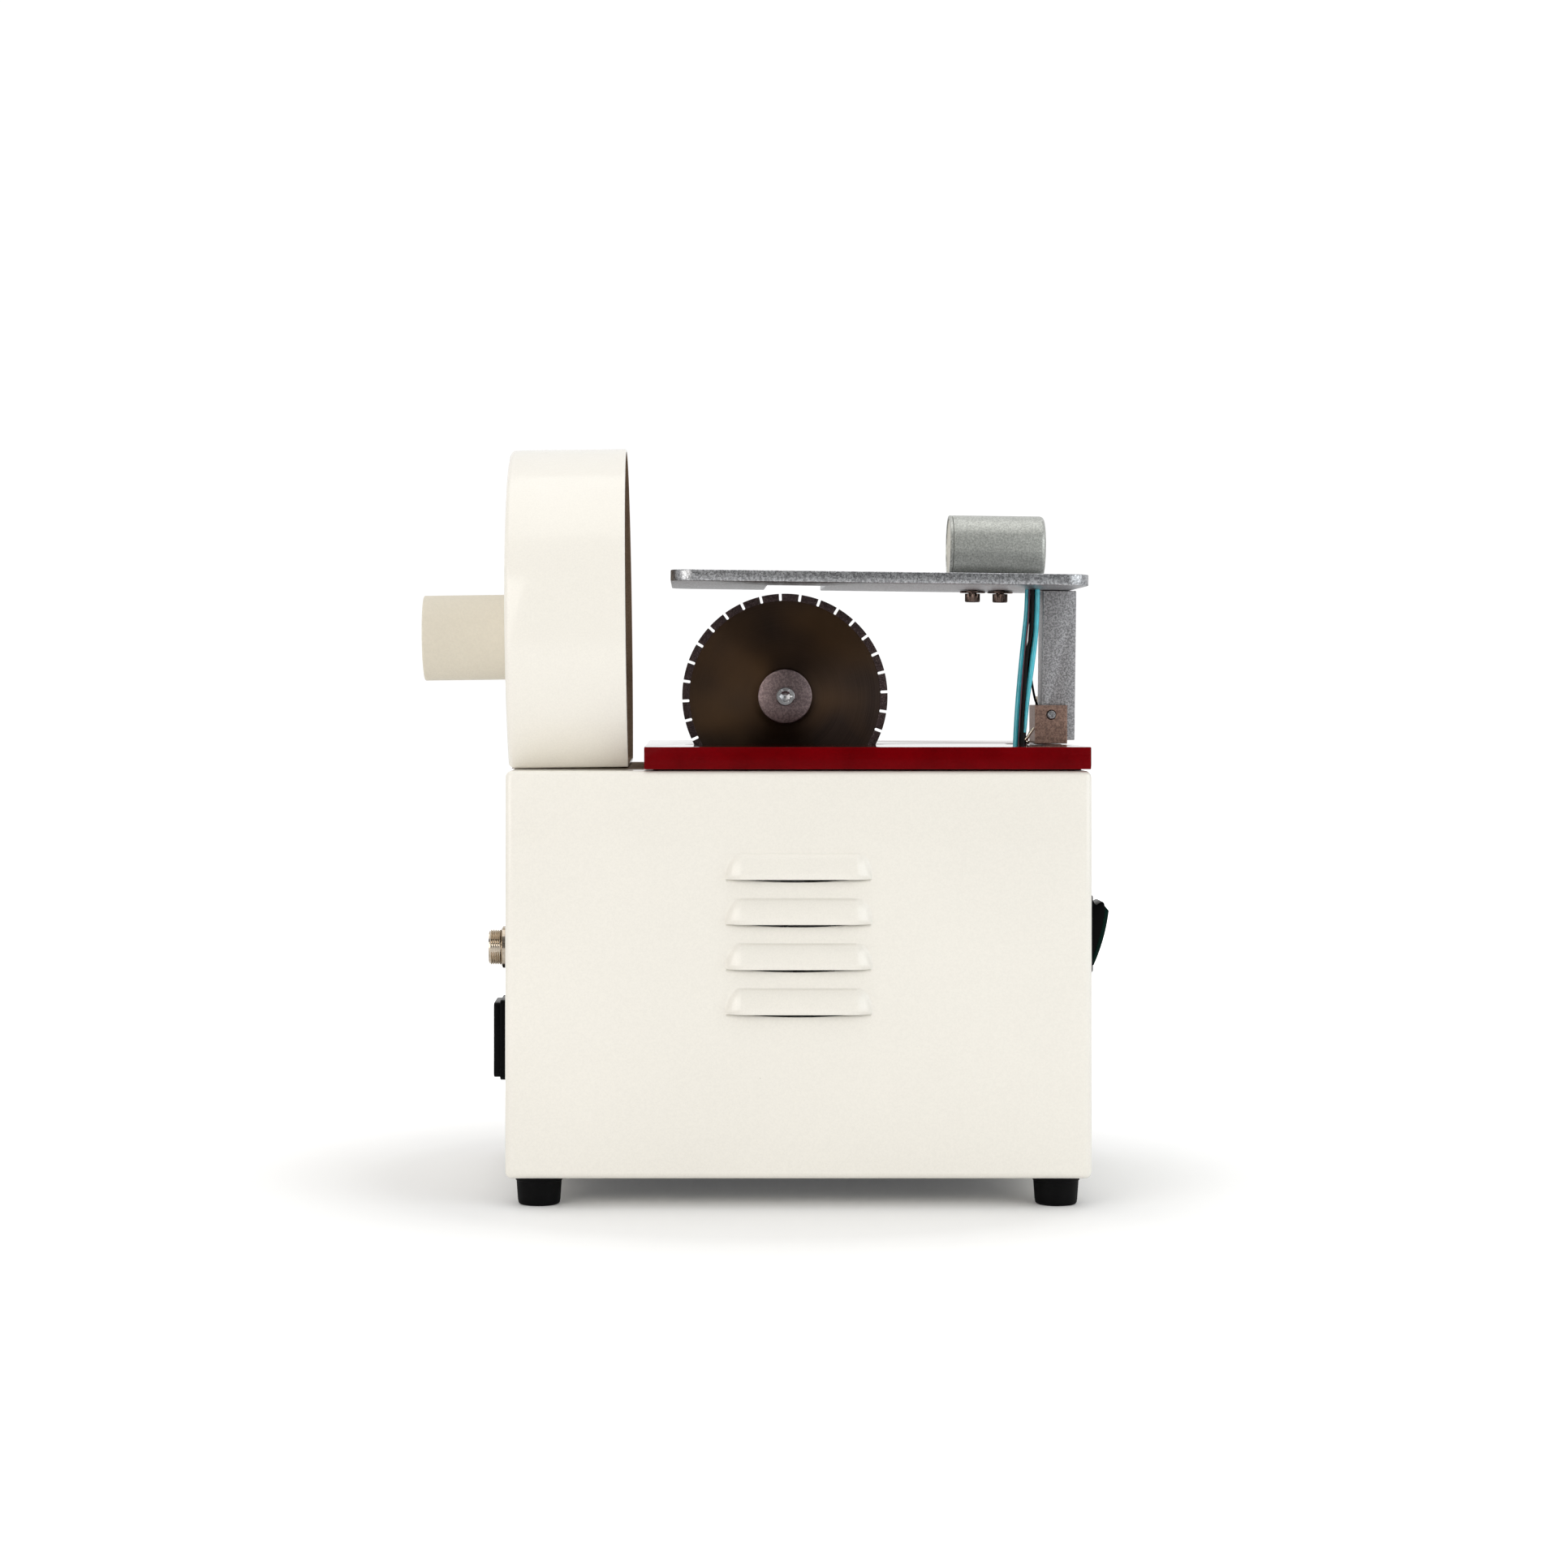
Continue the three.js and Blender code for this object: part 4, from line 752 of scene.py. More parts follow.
def build_foot(node):
    foot = measure(node)
    centre = (middle(foot.x), middle(foot.y))
    low, high = foot.z
    top = length(foot.x) / 2
    base = top - 1.2
    ground = circle(1.2, (base - 1.2, low + 1.2), 6, -TAU / 4, TAU / 5)
    piece(node, lathe("z", centre, [
        (2.5, low + 6), (5.2, low + 6), (5.2, low + 0.4), (5.6, low), *ground, (base + 0.25, low + 2.4),
        (base + 0.25, low + 2.6), (top - 0.4, high - 2.2), (top, high - 1.8), (top, high - 0.4),
        (top - 0.4, high), (2.5, high),
    ], 96))


def build_foot_screw(node):
    screw = measure(node)
    centre = (middle(screw.x), middle(screw.y))
    head = screw.z[0] + 2.7
    piece(node, socket_screw("z", centre, screw.z[0], head, 4.2, 1.6, 2, screw.z[1], taper=0.5))


# ---------------------------------------------------------------- table

def build_table():
    blade, belt, cables = table_slots()
    slots = [rounded(*blade, 2.9, 9), rounded(*belt, 2, 5), rounded(*cables, 5, 9)]
    piece("worktable", plate("z", TABLE.z, [rounded(TABLE.x, TABLE.y, 0.8, 4), *slots], 0.45))
    grommet = measure("cable_grommet")
    hole = [inset(span, 1.2) for span in grommet[:2]]
    rims = [rounded(*grommet[:2], 4.7, 9), rounded(*hole, 3.5, 9)]
    piece("cable_grommet", plate("z", grommet.z, rims, 0.3))
    dress("table_gasket", 0.05)
    dress("hood_gasket", 0.02, "gasket_and_hood_shade")


# ---------------------------------------------------------------- dust hood

HOOD_EDGE = 2.5


def drum_loop(hood, margin, along, count=120):
    """The drum's outline across X at one place: an arc that a flat base cuts off, with small corners."""
    radius = length(hood.y) / 2
    axis_z = hood.z[1] - radius
    corner = max(0.8, 3.0 - margin)
    base = hood.z[0] + margin
    reach = radius - margin
    drop = axis_z - base
    lift = math.asin((drop - corner) / (reach - corner))
    centre = (reach - corner) * math.cos(lift)
    right = circle(corner, (centre, base + corner), 6, -TAU / 4, TAU / 4 - lift)
    arc = circle(reach, (0, axis_z), count, -lift, math.pi + 2 * lift)
    left = [(-u, v) for u, v in right[::-1]]
    floor = [(-centre + 2 * centre * i / 9, base) for i in range(1, 9)]
    return [onto("x", u, v, along) for u, v in right + arc[1:-1] + left + floor]


def wall_hole(outline, radius, axis_z, along):
    """The round hole in the drum's rear wall, with one point for each point of the drum's outline."""
    ways = [Vector((y, z - axis_z)).normalized() * radius for _, y, z in outline]
    return [(along, way.x, axis_z + way.y) for way in ways]


def build_hood():
    hood = measure("dust_hood", HOOD_LEAN)
    port = measure("dust_port", HOOD_LEAN)
    port_radius = length(port.y) / 2
    axis_z = middle(port.z)
    rear, mouth = hood.x
    outside = [drum_loop(hood, margin, rear + depth) for margin, depth in edge_round(HOOD_EDGE, 5)]
    outside += [drum_loop(hood, 0, rear + (mouth - rear) * t) for t in (0.3, 0.6, 0.9)]
    outside += [drum_loop(hood, 0, mouth - 0.25), drum_loop(hood, 0.25, mouth)]
    inside = [drum_loop(hood, SHEET - 0.25, mouth), drum_loop(hood, SHEET, mouth - 0.25)]
    inside += [drum_loop(hood, SHEET, rear + (mouth - rear) * t) for t in (0.9, 0.6, 0.3)]
    inside += [drum_loop(hood, SHEET + margin, rear + SHEET + depth)
               for margin, depth in edge_round(HOOD_EDGE - SHEET, 5)[::-1]]
    front_hole = wall_hole(outside[0], port_radius + 0.3, axis_z, rear)
    back_hole = wall_hole(outside[0], port_radius + 0.3, axis_z, rear + SHEET)
    loops = [front_hole] + outside + inside + [back_hole]
    skin = loft(loops, closed=True, caps=(False, False))
    count = len(front_hole)
    inner_bands = range(len(outside) + 1, len(loops) - 1)
    drum = Shape().add(skin)
    # The inside faces get the darker brown-grey: painted shade standing for the shadow inside the drum
    drum.coats = [int(face // count in inner_bands) for face in range(len(drum.faces))]
    piece("dust_hood", drum, ["gasket_and_hood_shade"], place=HOOD_LEAN, sharp=40)
    start, end = port.x
    fillet = [(port_radius + 1.4 * (1 - math.sin(a)), rear - 1.4 * (1 - math.cos(a)) - 0.05)
              for a in (0, 0.3, 0.6, 0.9, 1.2, TAU / 4)]
    bore = port_radius - SHEET
    piece("dust_port", lathe("x", (0, axis_z), [
        (bore, start + 0.4), (bore + 0.4, start), (port_radius - 0.4, start), (port_radius, start + 0.4),
        *fillet[::-1], (port_radius, rear - 0.04), (port_radius, end), (bore, end),
    ], 96), place=HOOD_LEAN)


# ---------------------------------------------------------------- disc and arbor

TEETH = 32
SLOT_HALF = 0.63
SLOT_DEPTH = 3.3
SLOT_ROUND = 0.4
SEGMENT_HEIGHT = 3.4
SLOT_TURN = math.radians(2.6)


def around_arbor(reach, angle, aside=0.0):
    """A point in the disc's plane, aside being its distance from the ray at that angle."""
    return (ARBOR.x + reach * math.cos(angle) - aside * math.sin(angle),
            ARBOR.z + reach * math.sin(angle) + aside * math.cos(angle))


def rim_points(radius, tooth, count=7):
    """The arc between one slot's wall and the next slot's."""
    aside = math.asin(SLOT_HALF / radius)
    start = SLOT_TURN + TAU * tooth / TEETH + aside
    sweep = TAU / TEETH - 2 * aside
    return [around_arbor(radius, start + sweep * i / (count - 1)) for i in range(count)]


def disc_core(radius):
    outline = []
    for tooth in range(TEETH):
        angle = SLOT_TURN + TAU * tooth / TEETH
        floor = radius - SLOT_DEPTH + SLOT_ROUND
        for turn in range(9):
            swing = TAU / 4 - TAU / 2 * turn / 8
            reach = floor - SLOT_ROUND * math.cos(swing)
            outline.append(around_arbor(reach, angle, -SLOT_HALF * math.sin(swing)))
        outline += rim_points(radius - 0.1, tooth)
    return outline


def build_blade():
    blade = measure("saw_blade")
    radius = length(blade.x) / 2
    core = around(middle(blade.y), 0.6)
    bore = circle(5.3, (ARBOR.x, ARBOR.z), 48)
    segments = [rim_points(radius, tooth) + rim_points(radius - SEGMENT_HEIGHT, tooth, 4)[::-1]
                for tooth in range(TEETH)]
    disc = Shape().add(plate("y", core, [disc_core(radius), bore]))
    disc.add(plate("y", blade.y, segments, 0.12), 1)
    piece("saw_blade", disc, ["diamond_grit"])


def build_arbor():
    line = (ARBOR.x, ARBOR.z)
    front = measure("front_flange").y
    rear = measure("rear_flange").y
    radius = length(measure("front_flange").x) / 2
    piece("front_flange", lathe("y", line, [
        (2.8, front[0]), (radius - 0.5, front[0]), (radius - 0.15, front[0] + 0.15), (radius, front[0] + 0.5),
        (radius, front[1]), (2.8, front[1]),
    ], 128), coat="plum_aluminium")
    piece("rear_flange", lathe("y", line, [
        (2.8, rear[0]), (5, rear[0]), (5, rear[0] + 1.3), (radius, rear[0] + 1.3), (radius, rear[1] - 0.6),
        (radius - 0.6, rear[1]), (2.8, rear[1]),
    ], 96))
    screw = measure("arbor_screw")
    head = (screw.y[0], front[0] - 0.3)
    piece("arbor_screw", socket_screw("y", line, *head, length(screw.x) / 2, 2.05, 2.5, screw.y[1], 0.05))
    shaft = measure("arbor_shaft")
    reach = length(shaft.x) / 2
    piece("arbor_shaft", lathe("y", line, [
        (2.8, shaft.y[0] + 7), (2.8, shaft.y[0]), (reach - 0.4, shaft.y[0]), (reach, shaft.y[0] + 0.4),
        (reach, shaft.y[1] - 0.6), (reach - 0.6, shaft.y[1]), (1.2, shaft.y[1]), (1.2, shaft.y[1] - 1.5),
    ], 64))
    build_pulley("arbor_pulley", line)
    build_spindle(line)


def build_pulley(node, line):
    """A flat belt pulley: a crowned face between two low rims, and a web dished at both sides."""
    pulley = measure(node)
    outer = length(pulley.x) / 2
    front, back = pulley.y
    bore = (6 if node == "arbor_pulley" else 5) + 0.3
    hub, web, rim = bore + 4, outer - 5, 0.7
    seat = outer - 2
    face = back - front - 2 * rim
    crown = [(seat + 0.3 * math.sin(math.pi * t), front + rim + face * t) for t in np.linspace(0, 1, 9)]
    side = [(bore, front), (hub, front), (hub + 0.5, front + 2), (web - 0.5, front + 2), (web, front),
            (outer, front), (outer, front + rim)]
    piece(node, lathe("y", line, side + crown + mirrored(side, pulley.y), 96))


def build_spindle(line):
    housing = measure("spindle_housing")
    bearing = measure("front_bearing")
    low = housing.z[0]
    foot = low + 8
    radius = housing.z[1] - ARBOR.z
    web = 15
    join = math.acos(web / radius)
    fillet = [(ARBOR.x + web + across, foot + up) for up, across in edge_round(3, 5)[::-1]]
    right = [(housing.x[1] - 12, low), (housing.x[1] - 12, foot), *fillet]
    arc = circle(radius, line, 49, -join, math.pi + 2 * join)
    left = [(2 * ARBOR.x - u, v) for u, v in right[::-1]]
    bore = length(bearing.x) / 2 + 0.3
    cast = Shape().add(plate("y", housing.y, [right + arc + left, circle(bore, line, 96)], 0.5))
    bolts = [measure(f"spindle_bolt_{number}") for number in (1, 2, 3, 4)]
    holes = [circle(2.8, (middle(bolt.x), middle(bolt.y)), 24) for bolt in bolts]
    cast.add(plate("z", (low, foot), [rounded(housing.x, housing.y, 4), *holes], 0.5))
    piece("spindle_housing", cast)
    for node in ("front_bearing", "rear_bearing"):
        build_bearing(node, line)
    for number, bolt in enumerate(bolts, 1):
        centre = (middle(bolt.x), middle(bolt.y))
        body = socket_screw("z", centre, bolt.z[1], foot + 0.3, length(bolt.x) / 2, 2.1, 2.4, bolt.z[0], 0.05)
        piece(f"spindle_bolt_{number}", body)


def build_bearing(node, line):
    """A shielded ball bearing: two rings with a sunk shield between them on each side."""
    bearing = measure(node)
    outer = length(bearing.x) / 2
    front = bearing.y[0]
    inner, race, shield = 6.3, 8.2, outer - 2.2
    side = [(inner, front + 0.3), (inner + 0.3, front), (race, front), (race, front + 0.6),
            (shield, front + 0.6), (shield, front), (outer - 0.4, front), (outer, front + 0.4)]
    piece(node, lathe("y", line, side + mirrored(side, bearing.y), 96))


# ---------------------------------------------------------------- belt drive and what the cabinet holds

def build_belt_cover():
    """A pressed cover open at its base: a front wall with the shaft's hole, an arch and a back wall."""
    cover = measure("belt_cover")
    half = length(cover.x) / 2
    floor = cover.z[0]
    edge = 2.0

    def arch(margin, along):
        reach = half - margin
        sides = [(ARBOR.x + reach, floor + (ARBOR.z - floor) * t / 4) for t in range(4)]
        top = circle(reach, (ARBOR.x, ARBOR.z), 41, 0, math.pi)
        return [(u, along, v) for u, v in sides + top + [(2 * ARBOR.x - u, v) for u, v in sides[::-1]]]

    front, back = cover.y
    rounding = edge_round(edge, 6)
    outline = arch(edge, front)
    hole = []
    for x, y, z in outline:
        away = Vector((x - ARBOR.x, z - ARBOR.z)).normalized() * 7.5
        hole.append((ARBOR.x + away.x, y, ARBOR.z + away.y))
    loops = [hole] + [arch(margin, front + depth) for margin, depth in rounding]
    loops += [arch(margin, back - depth) for margin, depth in rounding[::-1]]
    loops.append([(ARBOR.x, back, z) for x, y, z in arch(edge, back)])
    verts, faces = loft(loops, caps=(False, False))
    count = len(loops[0])
    open_base = [face for face in faces if not (face[0] % count == count - 1 and count <= face[0])]
    piece("belt_cover", (verts, open_base), sheet=SHEET, sharp=40)


def build_drive():
    build_belt_cover()
    build_pulley("motor_pulley", (ARBOR.x, JOINT_AT["motor_spin"].z))
    for node in ("drive_belt", "motor_can", "motor_front_bell", "motor_rotor", "motor_bracket",
                 "blade_trough", "power_supply", "control_board"):
        dress(node, 0.4)


# ---------------------------------------------------------------- guard arm

def build_hinge():
    dress("clevis_block", 0.25)
    pin = measure("hinge_pin")
    radius = length(pin.x) / 2
    front, back = pin.y
    piece("hinge_pin", lathe("y", (PIN.x, PIN.z), [
        (0, front), (radius - 0.35, front), (radius - 0.05, front + 0.3), (radius, back - 0.5),
        (radius - 0.5, back), (0, back),
    ], 64), coat="blasted_aluminium")
    spring = measure("return_spring")
    wire = 0.65
    foot = spring.z[0] + wire
    turns, coil = 3, 3.5
    slope = 1.45
    clevis = measure("clevis_block")
    x0, (y0, y1) = clevis.x[0], clevis.y
    start = y1 + 1.6
    path = [(x0 - 0.4, y0 + 0.8, foot + 6.6), (x0 - 2.6, y0 + 0.75, foot + 3.4),
            (x0 - 4.4, y0 + 0.9, foot + 0.8), (x0 - 2.6, y0 + 4, foot), (x0 - 2.2, y1 - 2.5, foot),
            (x0 - 1, start, foot + 0.6)]
    for step in range(8 * turns + 1):
        x, z = circle(coil, (PIN.x, PIN.z), 1, math.pi + TAU * step / 8)[0]
        path.append((x, start + slope * step / 8, z))
    path.append((PIN.x - coil, start + slope * turns, spring.z[1]))
    piece("return_spring", tube(through(path, 260), wire))


def build_plate_and_post():
    plate_box = measure("guard_plate", ARM_LEAN)
    lamp = measure("lamp_housing", ARM_LEAN)
    corner = 10
    notch = (PIN.x - 132.6, PIN.x - 105.6)
    notch_end = TABLE.y[0] + 58.5
    x, y = plate_box.x, plate_box.y
    outline = [
        *circle(corner, (x[1] - corner, y[0] + corner), 13, -TAU / 4, TAU / 4),
        *circle(corner, (x[1] - corner, y[1] - corner), 13, 0, TAU / 4),
        *circle(0.8, (notch[1] + 0.8, y[1] - 0.8), 5, TAU / 4, TAU / 4),
        *circle(1.5, (notch[1] - 1.5, notch_end + 1.5), 7, 0, -TAU / 4),
        *circle(1.5, (notch[0] + 1.5, notch_end + 1.5), 7, -TAU / 4, -TAU / 4),
        *circle(0.8, (notch[0] - 0.8, y[1] - 0.8), 5, 0, TAU / 4),
        *circle(corner, (x[0] + corner, y[1] - corner), 13, TAU / 4, TAU / 4),
        *circle(corner, (x[0] + corner, y[0] + corner), 13, TAU / 2, TAU / 4),
    ]
    screws = [measure(f"lamp_screw_{number}", ARM_LEAN) for number in (1, 2)]
    holes = [circle(2.3, (middle(screw.x), middle(lamp.y)), 32) for screw in screws]
    piece("guard_plate", plate("z", plate_box.z, [outline, *holes], 0.45), place=ARM_LEAN)
    post = measure("guard_post", ARM_LEAN)
    sides = rounded(post.x, post.z, 0.4, 3)
    piece("guard_post", plate("y", post.y, [sides, circle(2.3, (PIN.x, PIN.z), 48)], 0.35), place=ARM_LEAN,
          coat="post_aluminium")


def build_lamp():
    lamp = measure("lamp_housing", ARM_LEAN)
    cap = measure("lamp_end_cap", ARM_LEAN)
    line = (middle(lamp.y), middle(lamp.z))
    radius = length(lamp.y) / 2
    start, end = cap.x[0] + 1.6, lamp.x[1]
    edge = 2.2
    curve = [(radius - inwards, end - back) for back, inwards in edge_round(edge, 8)]
    piece("lamp_housing", lathe("x", line, [
        (0, lamp.x[0]), (radius - 1.6, lamp.x[0]), (radius - 1.6, start), (radius - 0.3, start),
        (radius, start + 0.3), *curve, (0, end),
    ], 128), place=ARM_LEAN)
    left, right = cap.x
    lip = start - 0.2
    body = Shape().add(lathe("x", line, [
        (1, right), (1, left + 0.8), (radius - 1.3, left + 0.8), (radius - 1.1, left), (radius - 0.4, left),
        (radius, left + 0.4), (radius, lip), (radius - 1.9, lip), (radius - 1.9, right),
    ], 128))
    face = [(1, left + 0.9), (1, left + 0.5), (radius - 1.6, left + 0.5), (radius - 1.6, left + 0.9)]
    body.add(lathe("x", line, face, 96), 1)
    piece("lamp_end_cap", body, ["cap_face"], place=ARM_LEAN)
    for number in (1, 2):
        washer = measure(f"lamp_washer_{number}", ARM_LEAN)
        centre = (middle(washer.x), middle(washer.y))
        piece(f"lamp_washer_{number}", lathe("z", centre, [
            (2.3, washer.z[0]), (5.8, washer.z[0]), (6, washer.z[0] + 0.2), (6, washer.z[1] - 0.2),
            (5.8, washer.z[1]), (2.3, washer.z[1]),
        ], 64), place=ARM_LEAN)
        screw = measure(f"lamp_screw_{number}", ARM_LEAN)
        seat = washer.z[0] - 0.3
        body = socket_screw("z", centre, screw.z[0], seat, 3.5, 1.55, 2, screw.z[1], 0.07)
        piece(f"lamp_screw_{number}", body, place=ARM_LEAN)


def strand(depth, points):
    """A wire's path at one depth. Points are (distance left of the pin, height above the table)."""
    return [(PIN.x - left, depth, TABLE.z[1] + up) for left, up in points]


def build_bundle():
    """The two air tubes and the lamp's wires, which bend between the table and the plate."""
    ends = ((PIN.x - 14, 0, TABLE.z[1] + 1), (PIN.x - 10, 0, measure("guard_plate").z[0] - 6))
    near = measure("air_tube_near").y
    far = measure("air_tube_far").y
    front, rear = middle(near), middle(far)
    piece("air_tube_near", tube(through(strand(front, [
        (16.6, -20), (16.3, -1), (15.1, 20), (13.1, 42), (11.2, 60), (10.5, 74.2)]), 60), 1.25), blended=ends)
    piece("air_tube_far", tube(through(strand(front - 1.4, [
        (13.2, -20), (13.0, 0), (12.2, 10), (10.9, 22), (8.9, 36), (7.2, 50), (6.5, 62), (6.2, 74.2),
    ]), 70), 1.25), blended=ends)
    wires = Shape()
    black = [(-1.0, [(12.0, -20), (12.2, 2), (11.2, 18), (9.6, 34), (7.9, 52), (7.0, 74)]),
             (-3.1, [(13.4, -20), (13.6, 2), (12.6, 22), (11.2, 42), (9.1, 54), (8.7, 74)]),
             (0.4, [(12.6, -20), (13.0, 2), (12.4, 20), (10.8, 34), (9.6, 50), (7.6, 74)]),
             (1.8, [(14.2, -20), (14.2, 2), (13.2, 24), (11.8, 44), (10.2, 60), (9.6, 74)]),
             (2.6, [(13.2, -20), (13.4, 3), (12.0, 18), (10.2, 34), (8.4, 52), (6.9, 74)])]
    for depth, points in black:
        wires.add(tube(through(strand(front + depth, points), 60), 0.75, 12))
    wires.add(tube(through(strand(front - 2.2, [
        (15.2, -20), (14.9, 1), (13.9, 20), (12.4, 40), (10.6, 58), (10.0, 74)]), 60), 0.45, 10), 1)
    wires.add(tube(through(strand(front - 2.0, [
        (13.3, -18), (13.4, 0), (13.2, 5.5)]), 14), 1.7, 20))
    wires.add(tube(through(strand(rear, [
        (8.6, 70), (8.2, 44), (8.0, 32), (6.4, 22), (5.0, 17), (4.9, 8)]), 50), 0.55, 10))
    piece("lamp_cable", wires, ["mauve_wire"], blended=ends)


# ---------------------------------------------------------------- panel fittings

def build_switch():
    switch = measure("switch_body")
    centre = JOINT_AT["rocker_tilt"]
    face = CABINET.x[1] + 0.3
    y, z = switch.y, switch.z
    opening = rounded(inset(y, 2.6), inset(z, 1.65), 0.8, 4)
    rim = rounded(inset(y, 1.4), inset(z, 0.9), 1.2, 5)
    body = Shape()
    body.add(plate("x", (face, face + 1.2), [rounded(y, z, 1.8, 6), opening], 0.35))
    body.add(plate("x", (face + 0.8, switch.x[1]), [rim, opening], 0.25))
    tank = rounded(inset(y, 2.2), inset(z, 1.6), 0.8, 3)
    body.add(plate("x", (switch.x[0] + 1, face + 0.6), [tank, opening]))
    body.add(plate("x", (switch.x[0], switch.x[0] + 1.5), [tank]))
    piece("switch_body", body)

    rocker = measure("switch_rocker")
    width = rocker.y
    end = [(-4.5, 11.8), (-0.4, 14.8), (0.5, 13.9), (1.4, 13.6), (2.0, 14.6), (2.7, 15.4), (3.6, 15.7),
           (4.3, 15.4), (4.8, 14.5)]
    crown, layer = 0.95, 1.9
    face_at = [(7.3 + crown * (1 - t * t), 12.6 * t) for t in np.linspace(1, -1, 15)]
    under = [(out - layer, 1.02 * along) for out, along in face_at]
    core = end + [(4.9, 14.2)] + under + [(4.9, -14.2)] + [(out, -along) for out, along in end[::-1]]
    paddle = [(5.2, 14.1)] + face_at + [(5.2, -14.1)] + under[::-1]
    turn = Matrix.Rotation(math.radians(15.5), 4, "Y")
    place = Matrix.Translation((centre.x, 0, centre.z)) @ turn
    both = Shape().add(plate("y", width, [core], 0.3), 1)
    both.add(plate("y", (width[0] + 0.1, width[1] - 0.1), [paddle], 0.3))
    piece("switch_rocker", both, ["black_plastic"], place=place)


def build_inlet():
    inlet = measure("inlet_body")
    wall = CABINET.x[0] - 0.3
    y, z = inlet.y, inlet.z
    centre = (middle(y), middle(z))
    flange = wall - 3
    front = inlet.x[0]
    socket_z = (centre[1] - 4, centre[1] + 13)
    half = 12.2
    left, right = around(centre[0], half)
    socket = [(left, socket_z[0]), (right, socket_z[0]), (right, socket_z[1] - 4), (right - 4, socket_z[1]),
              (left + 4, socket_z[1]), (left, socket_z[1] - 4)]
    drawer = measure("fuse_drawer")
    pocket = rounded(inset(drawer.y, -0.3), inset(drawer.z, -0.3), 0.5, 3)
    raised = rounded(inset(y, 1.3), inset(z, 1.2), 2.6, 7)
    case = rounded(around(centre[0], 13.4), around(centre[1], 16), 1.5, 4)
    heart = centre[1] + 4.5
    shroud = [(centre[0] + (u - centre[0]) * 0.8, heart + (v - heart) * 0.72) for u, v in socket]
    body = Shape()
    body.add(plate("x", (flange, wall), [rounded(y, z, 3, 8), socket, pocket], 0.45))
    body.add(plate("x", (front, flange + 0.4), [raised, socket, pocket], 0.5))
    body.add(plate("x", (wall - 0.2, inlet.x[1] - 3), [case, socket, pocket]))
    body.add(plate("x", (inlet.x[1] - 3.5, inlet.x[1]), [case]))
    body.add(plate("x", (front + 3.5, inlet.x[1] - 3), [shroud], 0.3))
    for across, up in ((0, 8), (-7, 3), (7, 3)):
        pin = rounded(around(centre[0] + across, 1), around(centre[1] + up, 2), 0.4, 3)
        body.add(plate("x", (front + 2, front + 5), [pin], 0.3), 1)
    piece("inlet_body", body, ["nickel"])
    grip = Shape().add(plate("x", drawer.x, [rounded(drawer.y, drawer.z, 0.6, 4)], 0.25))
    ledge = rounded(around(centre[0], 4), (drawer.z[1] - 2, drawer.z[1] - 0.6), 0.5, 4)
    grip.add(plate("x", (drawer.x[0] - 0.5, drawer.x[0] + 0.6), [ledge], 0.2))
    piece("fuse_drawer", grip)


def build_connector():
    body = measure("connector_body")
    nut = measure("connector_nut")
    line = (middle(nut.y), middle(nut.z))
    crest = length(body.z) / 2
    front, back = body.x
    pitch, turns = 1.0, 5
    thread = []
    for turn in range(turns):
        start = front + 0.5 + pitch * turn
        thread += [(crest - 0.75, start), (crest - 0.1, start + 0.38 * pitch), (crest, start + 0.5 * pitch),
                   (crest - 0.1, start + 0.62 * pitch)]
    shell = Shape().add(lathe("x", line, [
        (6.4, front + 4.5), (6.4, front + 0.3), (6.7, front), (crest - 0.8, front), *thread,
        (crest - 0.75, front + 0.5 + pitch * turns), (crest - 0.7, back), (5, back), (5, front + 4.5)], 96))
    flat = line[0] - crest + 0.7
    shell.verts = [(x, max(y, flat), z) if x < nut.x[0] else (x, y, z) for x, y, z in shell.verts]
    insulator = [(0, front + 3.6), (6.3, front + 3.6), (6.3, front + 8), (0, front + 8)]
    shell.add(lathe("x", line, insulator, 64), 1)
    contact = [(0, front + 0.9), (0.45, front + 1.2), (0.6, front + 1.6), (0.6, front + 4), (0, front + 4)]
    for i in range(4):
        at = circle(3, line, 1, TAU * (i + 0.5) / 4)[0]
        shell.add(lathe("x", at, contact, 20), 2)
    piece("connector_body", shell, ["black_plastic", "gold_plate"])
    reach = length(nut.y) / 2
    piece("connector_nut", lathe("x", line, [
        (crest - 0.3, nut.x[0]), (reach - 1.2, nut.x[0]), (reach, nut.x[0] + 0.7), (reach, nut.x[1]),
        (crest - 0.3, nut.x[1])], 96))


# ---------------------------------------------------------------- stage

CAMERA_BACK = 1450
CAMERA_SIDE = -48.1
CAMERA_HEIGHT = 231
FOCAL_LENGTH = 75.25
SHIFT = (0.06, -0.0621)
ROOM_FRONT = 0.06
ROOM_BACK = 0.95
TOP_POWER = 5.4
LEFT_POWER = 14.8
RIGHT_POWER = 13.8


def softbox(name, size, at, power, tint, aim=(0, 0, 0.15)):
    lamp = bpy.data.lights.new(name, "AREA")
    lamp.shape = "RECTANGLE"
    lamp.size, lamp.size_y = size
    lamp.energy = power
    lamp.color = tint
    box = bpy.data.objects.new(name, lamp)
    bpy.context.scene.collection.objects.link(box)
    box.location = at
    box.rotation_euler = (Vector(aim) - Vector(at)).to_track_quat("-Z", "Y").to_euler()
    box.visible_camera = False
    return box


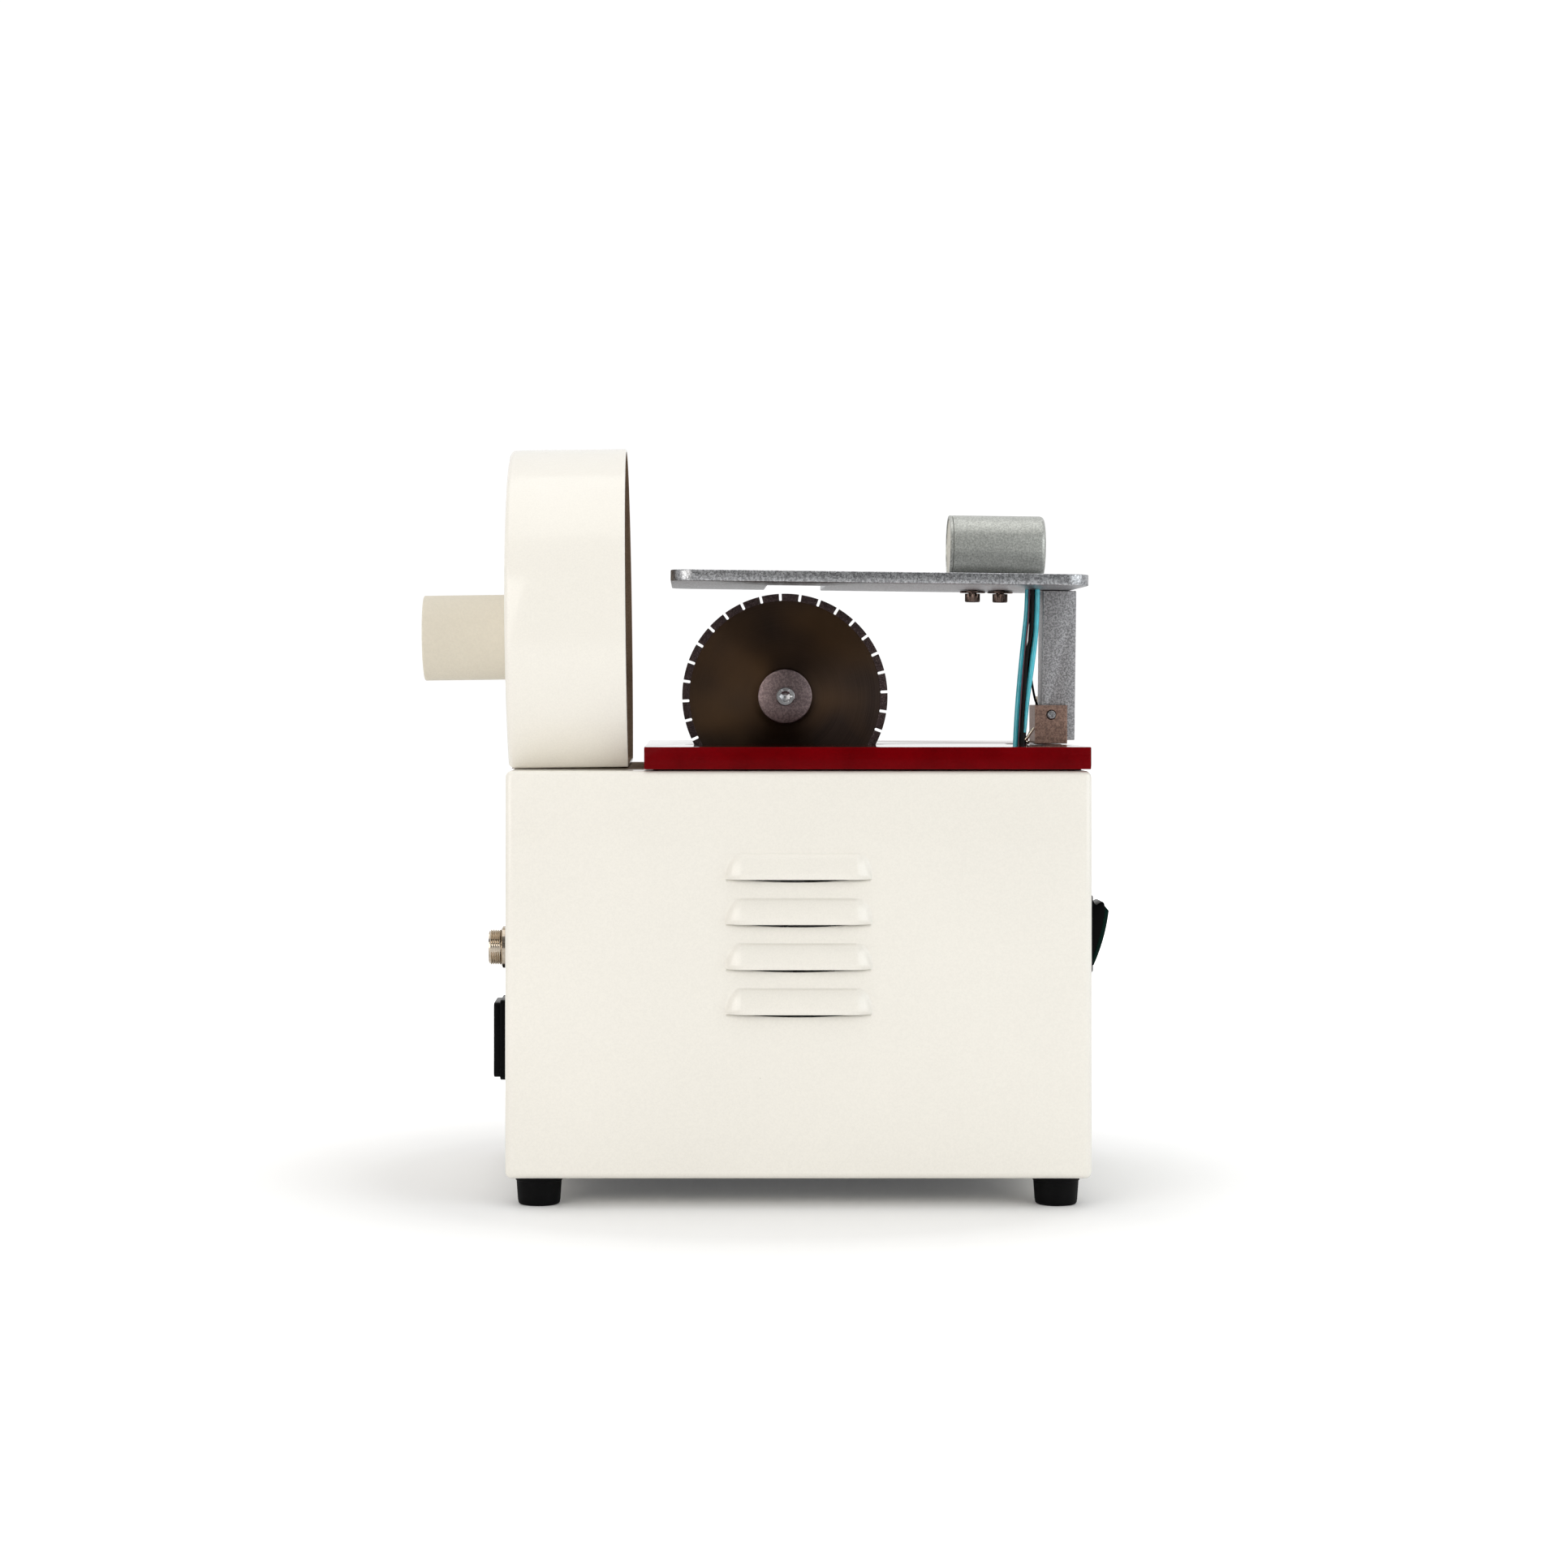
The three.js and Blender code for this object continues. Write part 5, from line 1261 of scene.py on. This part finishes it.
def build_world():
    """White for the camera. For light and reflections it is a dim room, darker in front than behind."""
    world = bpy.data.worlds.new("studio")
    bpy.context.scene.world = world
    world.use_nodes = True
    nodes, links = world.node_tree.nodes, world.node_tree.links
    nodes.clear()
    room, white = [nodes.new("ShaderNodeBackground") for _ in range(2)]
    chosen, seen, output, way, parts, level = [nodes.new("ShaderNode" + kind) for kind in (
        "MixShader", "LightPath", "OutputWorld", "TexCoord", "SeparateXYZ", "MapRange")]
    for background in (room, white):
        background.inputs["Color"].default_value = (1, 1, 1, 1)
    white.inputs["Strength"].default_value = 1.05
    for key, value in (("From Min", -0.9), ("From Max", 0.6), ("To Min", ROOM_FRONT), ("To Max", ROOM_BACK)):
        level.inputs[key].default_value = value
    links.new(way.outputs["Generated"], parts.inputs[0])
    links.new(parts.outputs["Y"], level.inputs["Value"])
    links.new(level.outputs["Result"], room.inputs["Strength"])
    links.new(seen.outputs["Is Camera Ray"], chosen.inputs[0])
    links.new(room.outputs[0], chosen.inputs[1])
    links.new(white.outputs[0], chosen.inputs[2])
    links.new(chosen.outputs[0], output.inputs[0])


def build_floor():
    mesh = bpy.data.meshes.new("floor")
    reach = 4.0
    corners = [(-reach, -reach, 0), (reach, -reach, 0), (reach, reach * 2, 0), (-reach, reach * 2, 0)]
    mesh.from_pydata(corners, [], [(0, 1, 2, 3)])
    floor = bpy.data.objects.new("floor", mesh)
    bpy.context.scene.collection.objects.link(floor)
    paper = Finish("floor_paper", (0.88, 0.88, 0.88, 1.0), 0.8)
    paper.mottle(paper.noise(3, 3), 0.01)
    away = paper.node("VectorMath", {0: paper.place}, operation="LENGTH").outputs["Value"]
    seen = paper.node("LightPath").outputs["Is Camera Ray"]
    glow = paper.calc("MULTIPLY", paper.remap(away, 0.17, 0.6, 0.06, 1.0), seen)
    paper.done(Emission_Color=(1, 1, 1, 1), Emission_Strength=glow)
    mesh.materials.append(paper.material)


def build_stage():
    scene = bpy.context.scene
    scene.view_settings.view_transform = "Standard"
    camera = bpy.data.cameras.new("camera")
    camera.lens = FOCAL_LENGTH
    camera.sensor_width = 36
    camera.shift_x, camera.shift_y = SHIFT
    camera.clip_start, camera.clip_end = 0.05, 50
    viewer = bpy.data.objects.new("camera", camera)
    scene.collection.objects.link(viewer)
    viewer.location = Vector((MIDDLE_X + CAMERA_SIDE, CABINET.y[0] - CAMERA_BACK, CAMERA_HEIGHT)) * MM
    viewer.rotation_euler = (TAU / 4, 0, 0)
    scene.camera = viewer
    build_world()
    build_floor()
    softbox("top_light", (1.6, 1.2), (0, -0.1, 1.5), TOP_POWER, (1, 0.99, 0.97))
    softbox("left_light", (1.5, 1.4), (-1.1, -1.45, 0.7), LEFT_POWER, (1, 0.97, 0.93))
    softbox("right_light", (1.7, 1.4), (1.4, -1.15, 0.7), RIGHT_POWER, (0.95, 0.99, 1))


make_finishes()
build_cabinet()
build_table()
build_hood()
build_blade()
build_arbor()
build_drive()
build_hinge()
build_plate_and_post()
build_lamp()
build_bundle()
build_switch()
build_inlet()
build_connector()
build_stage()
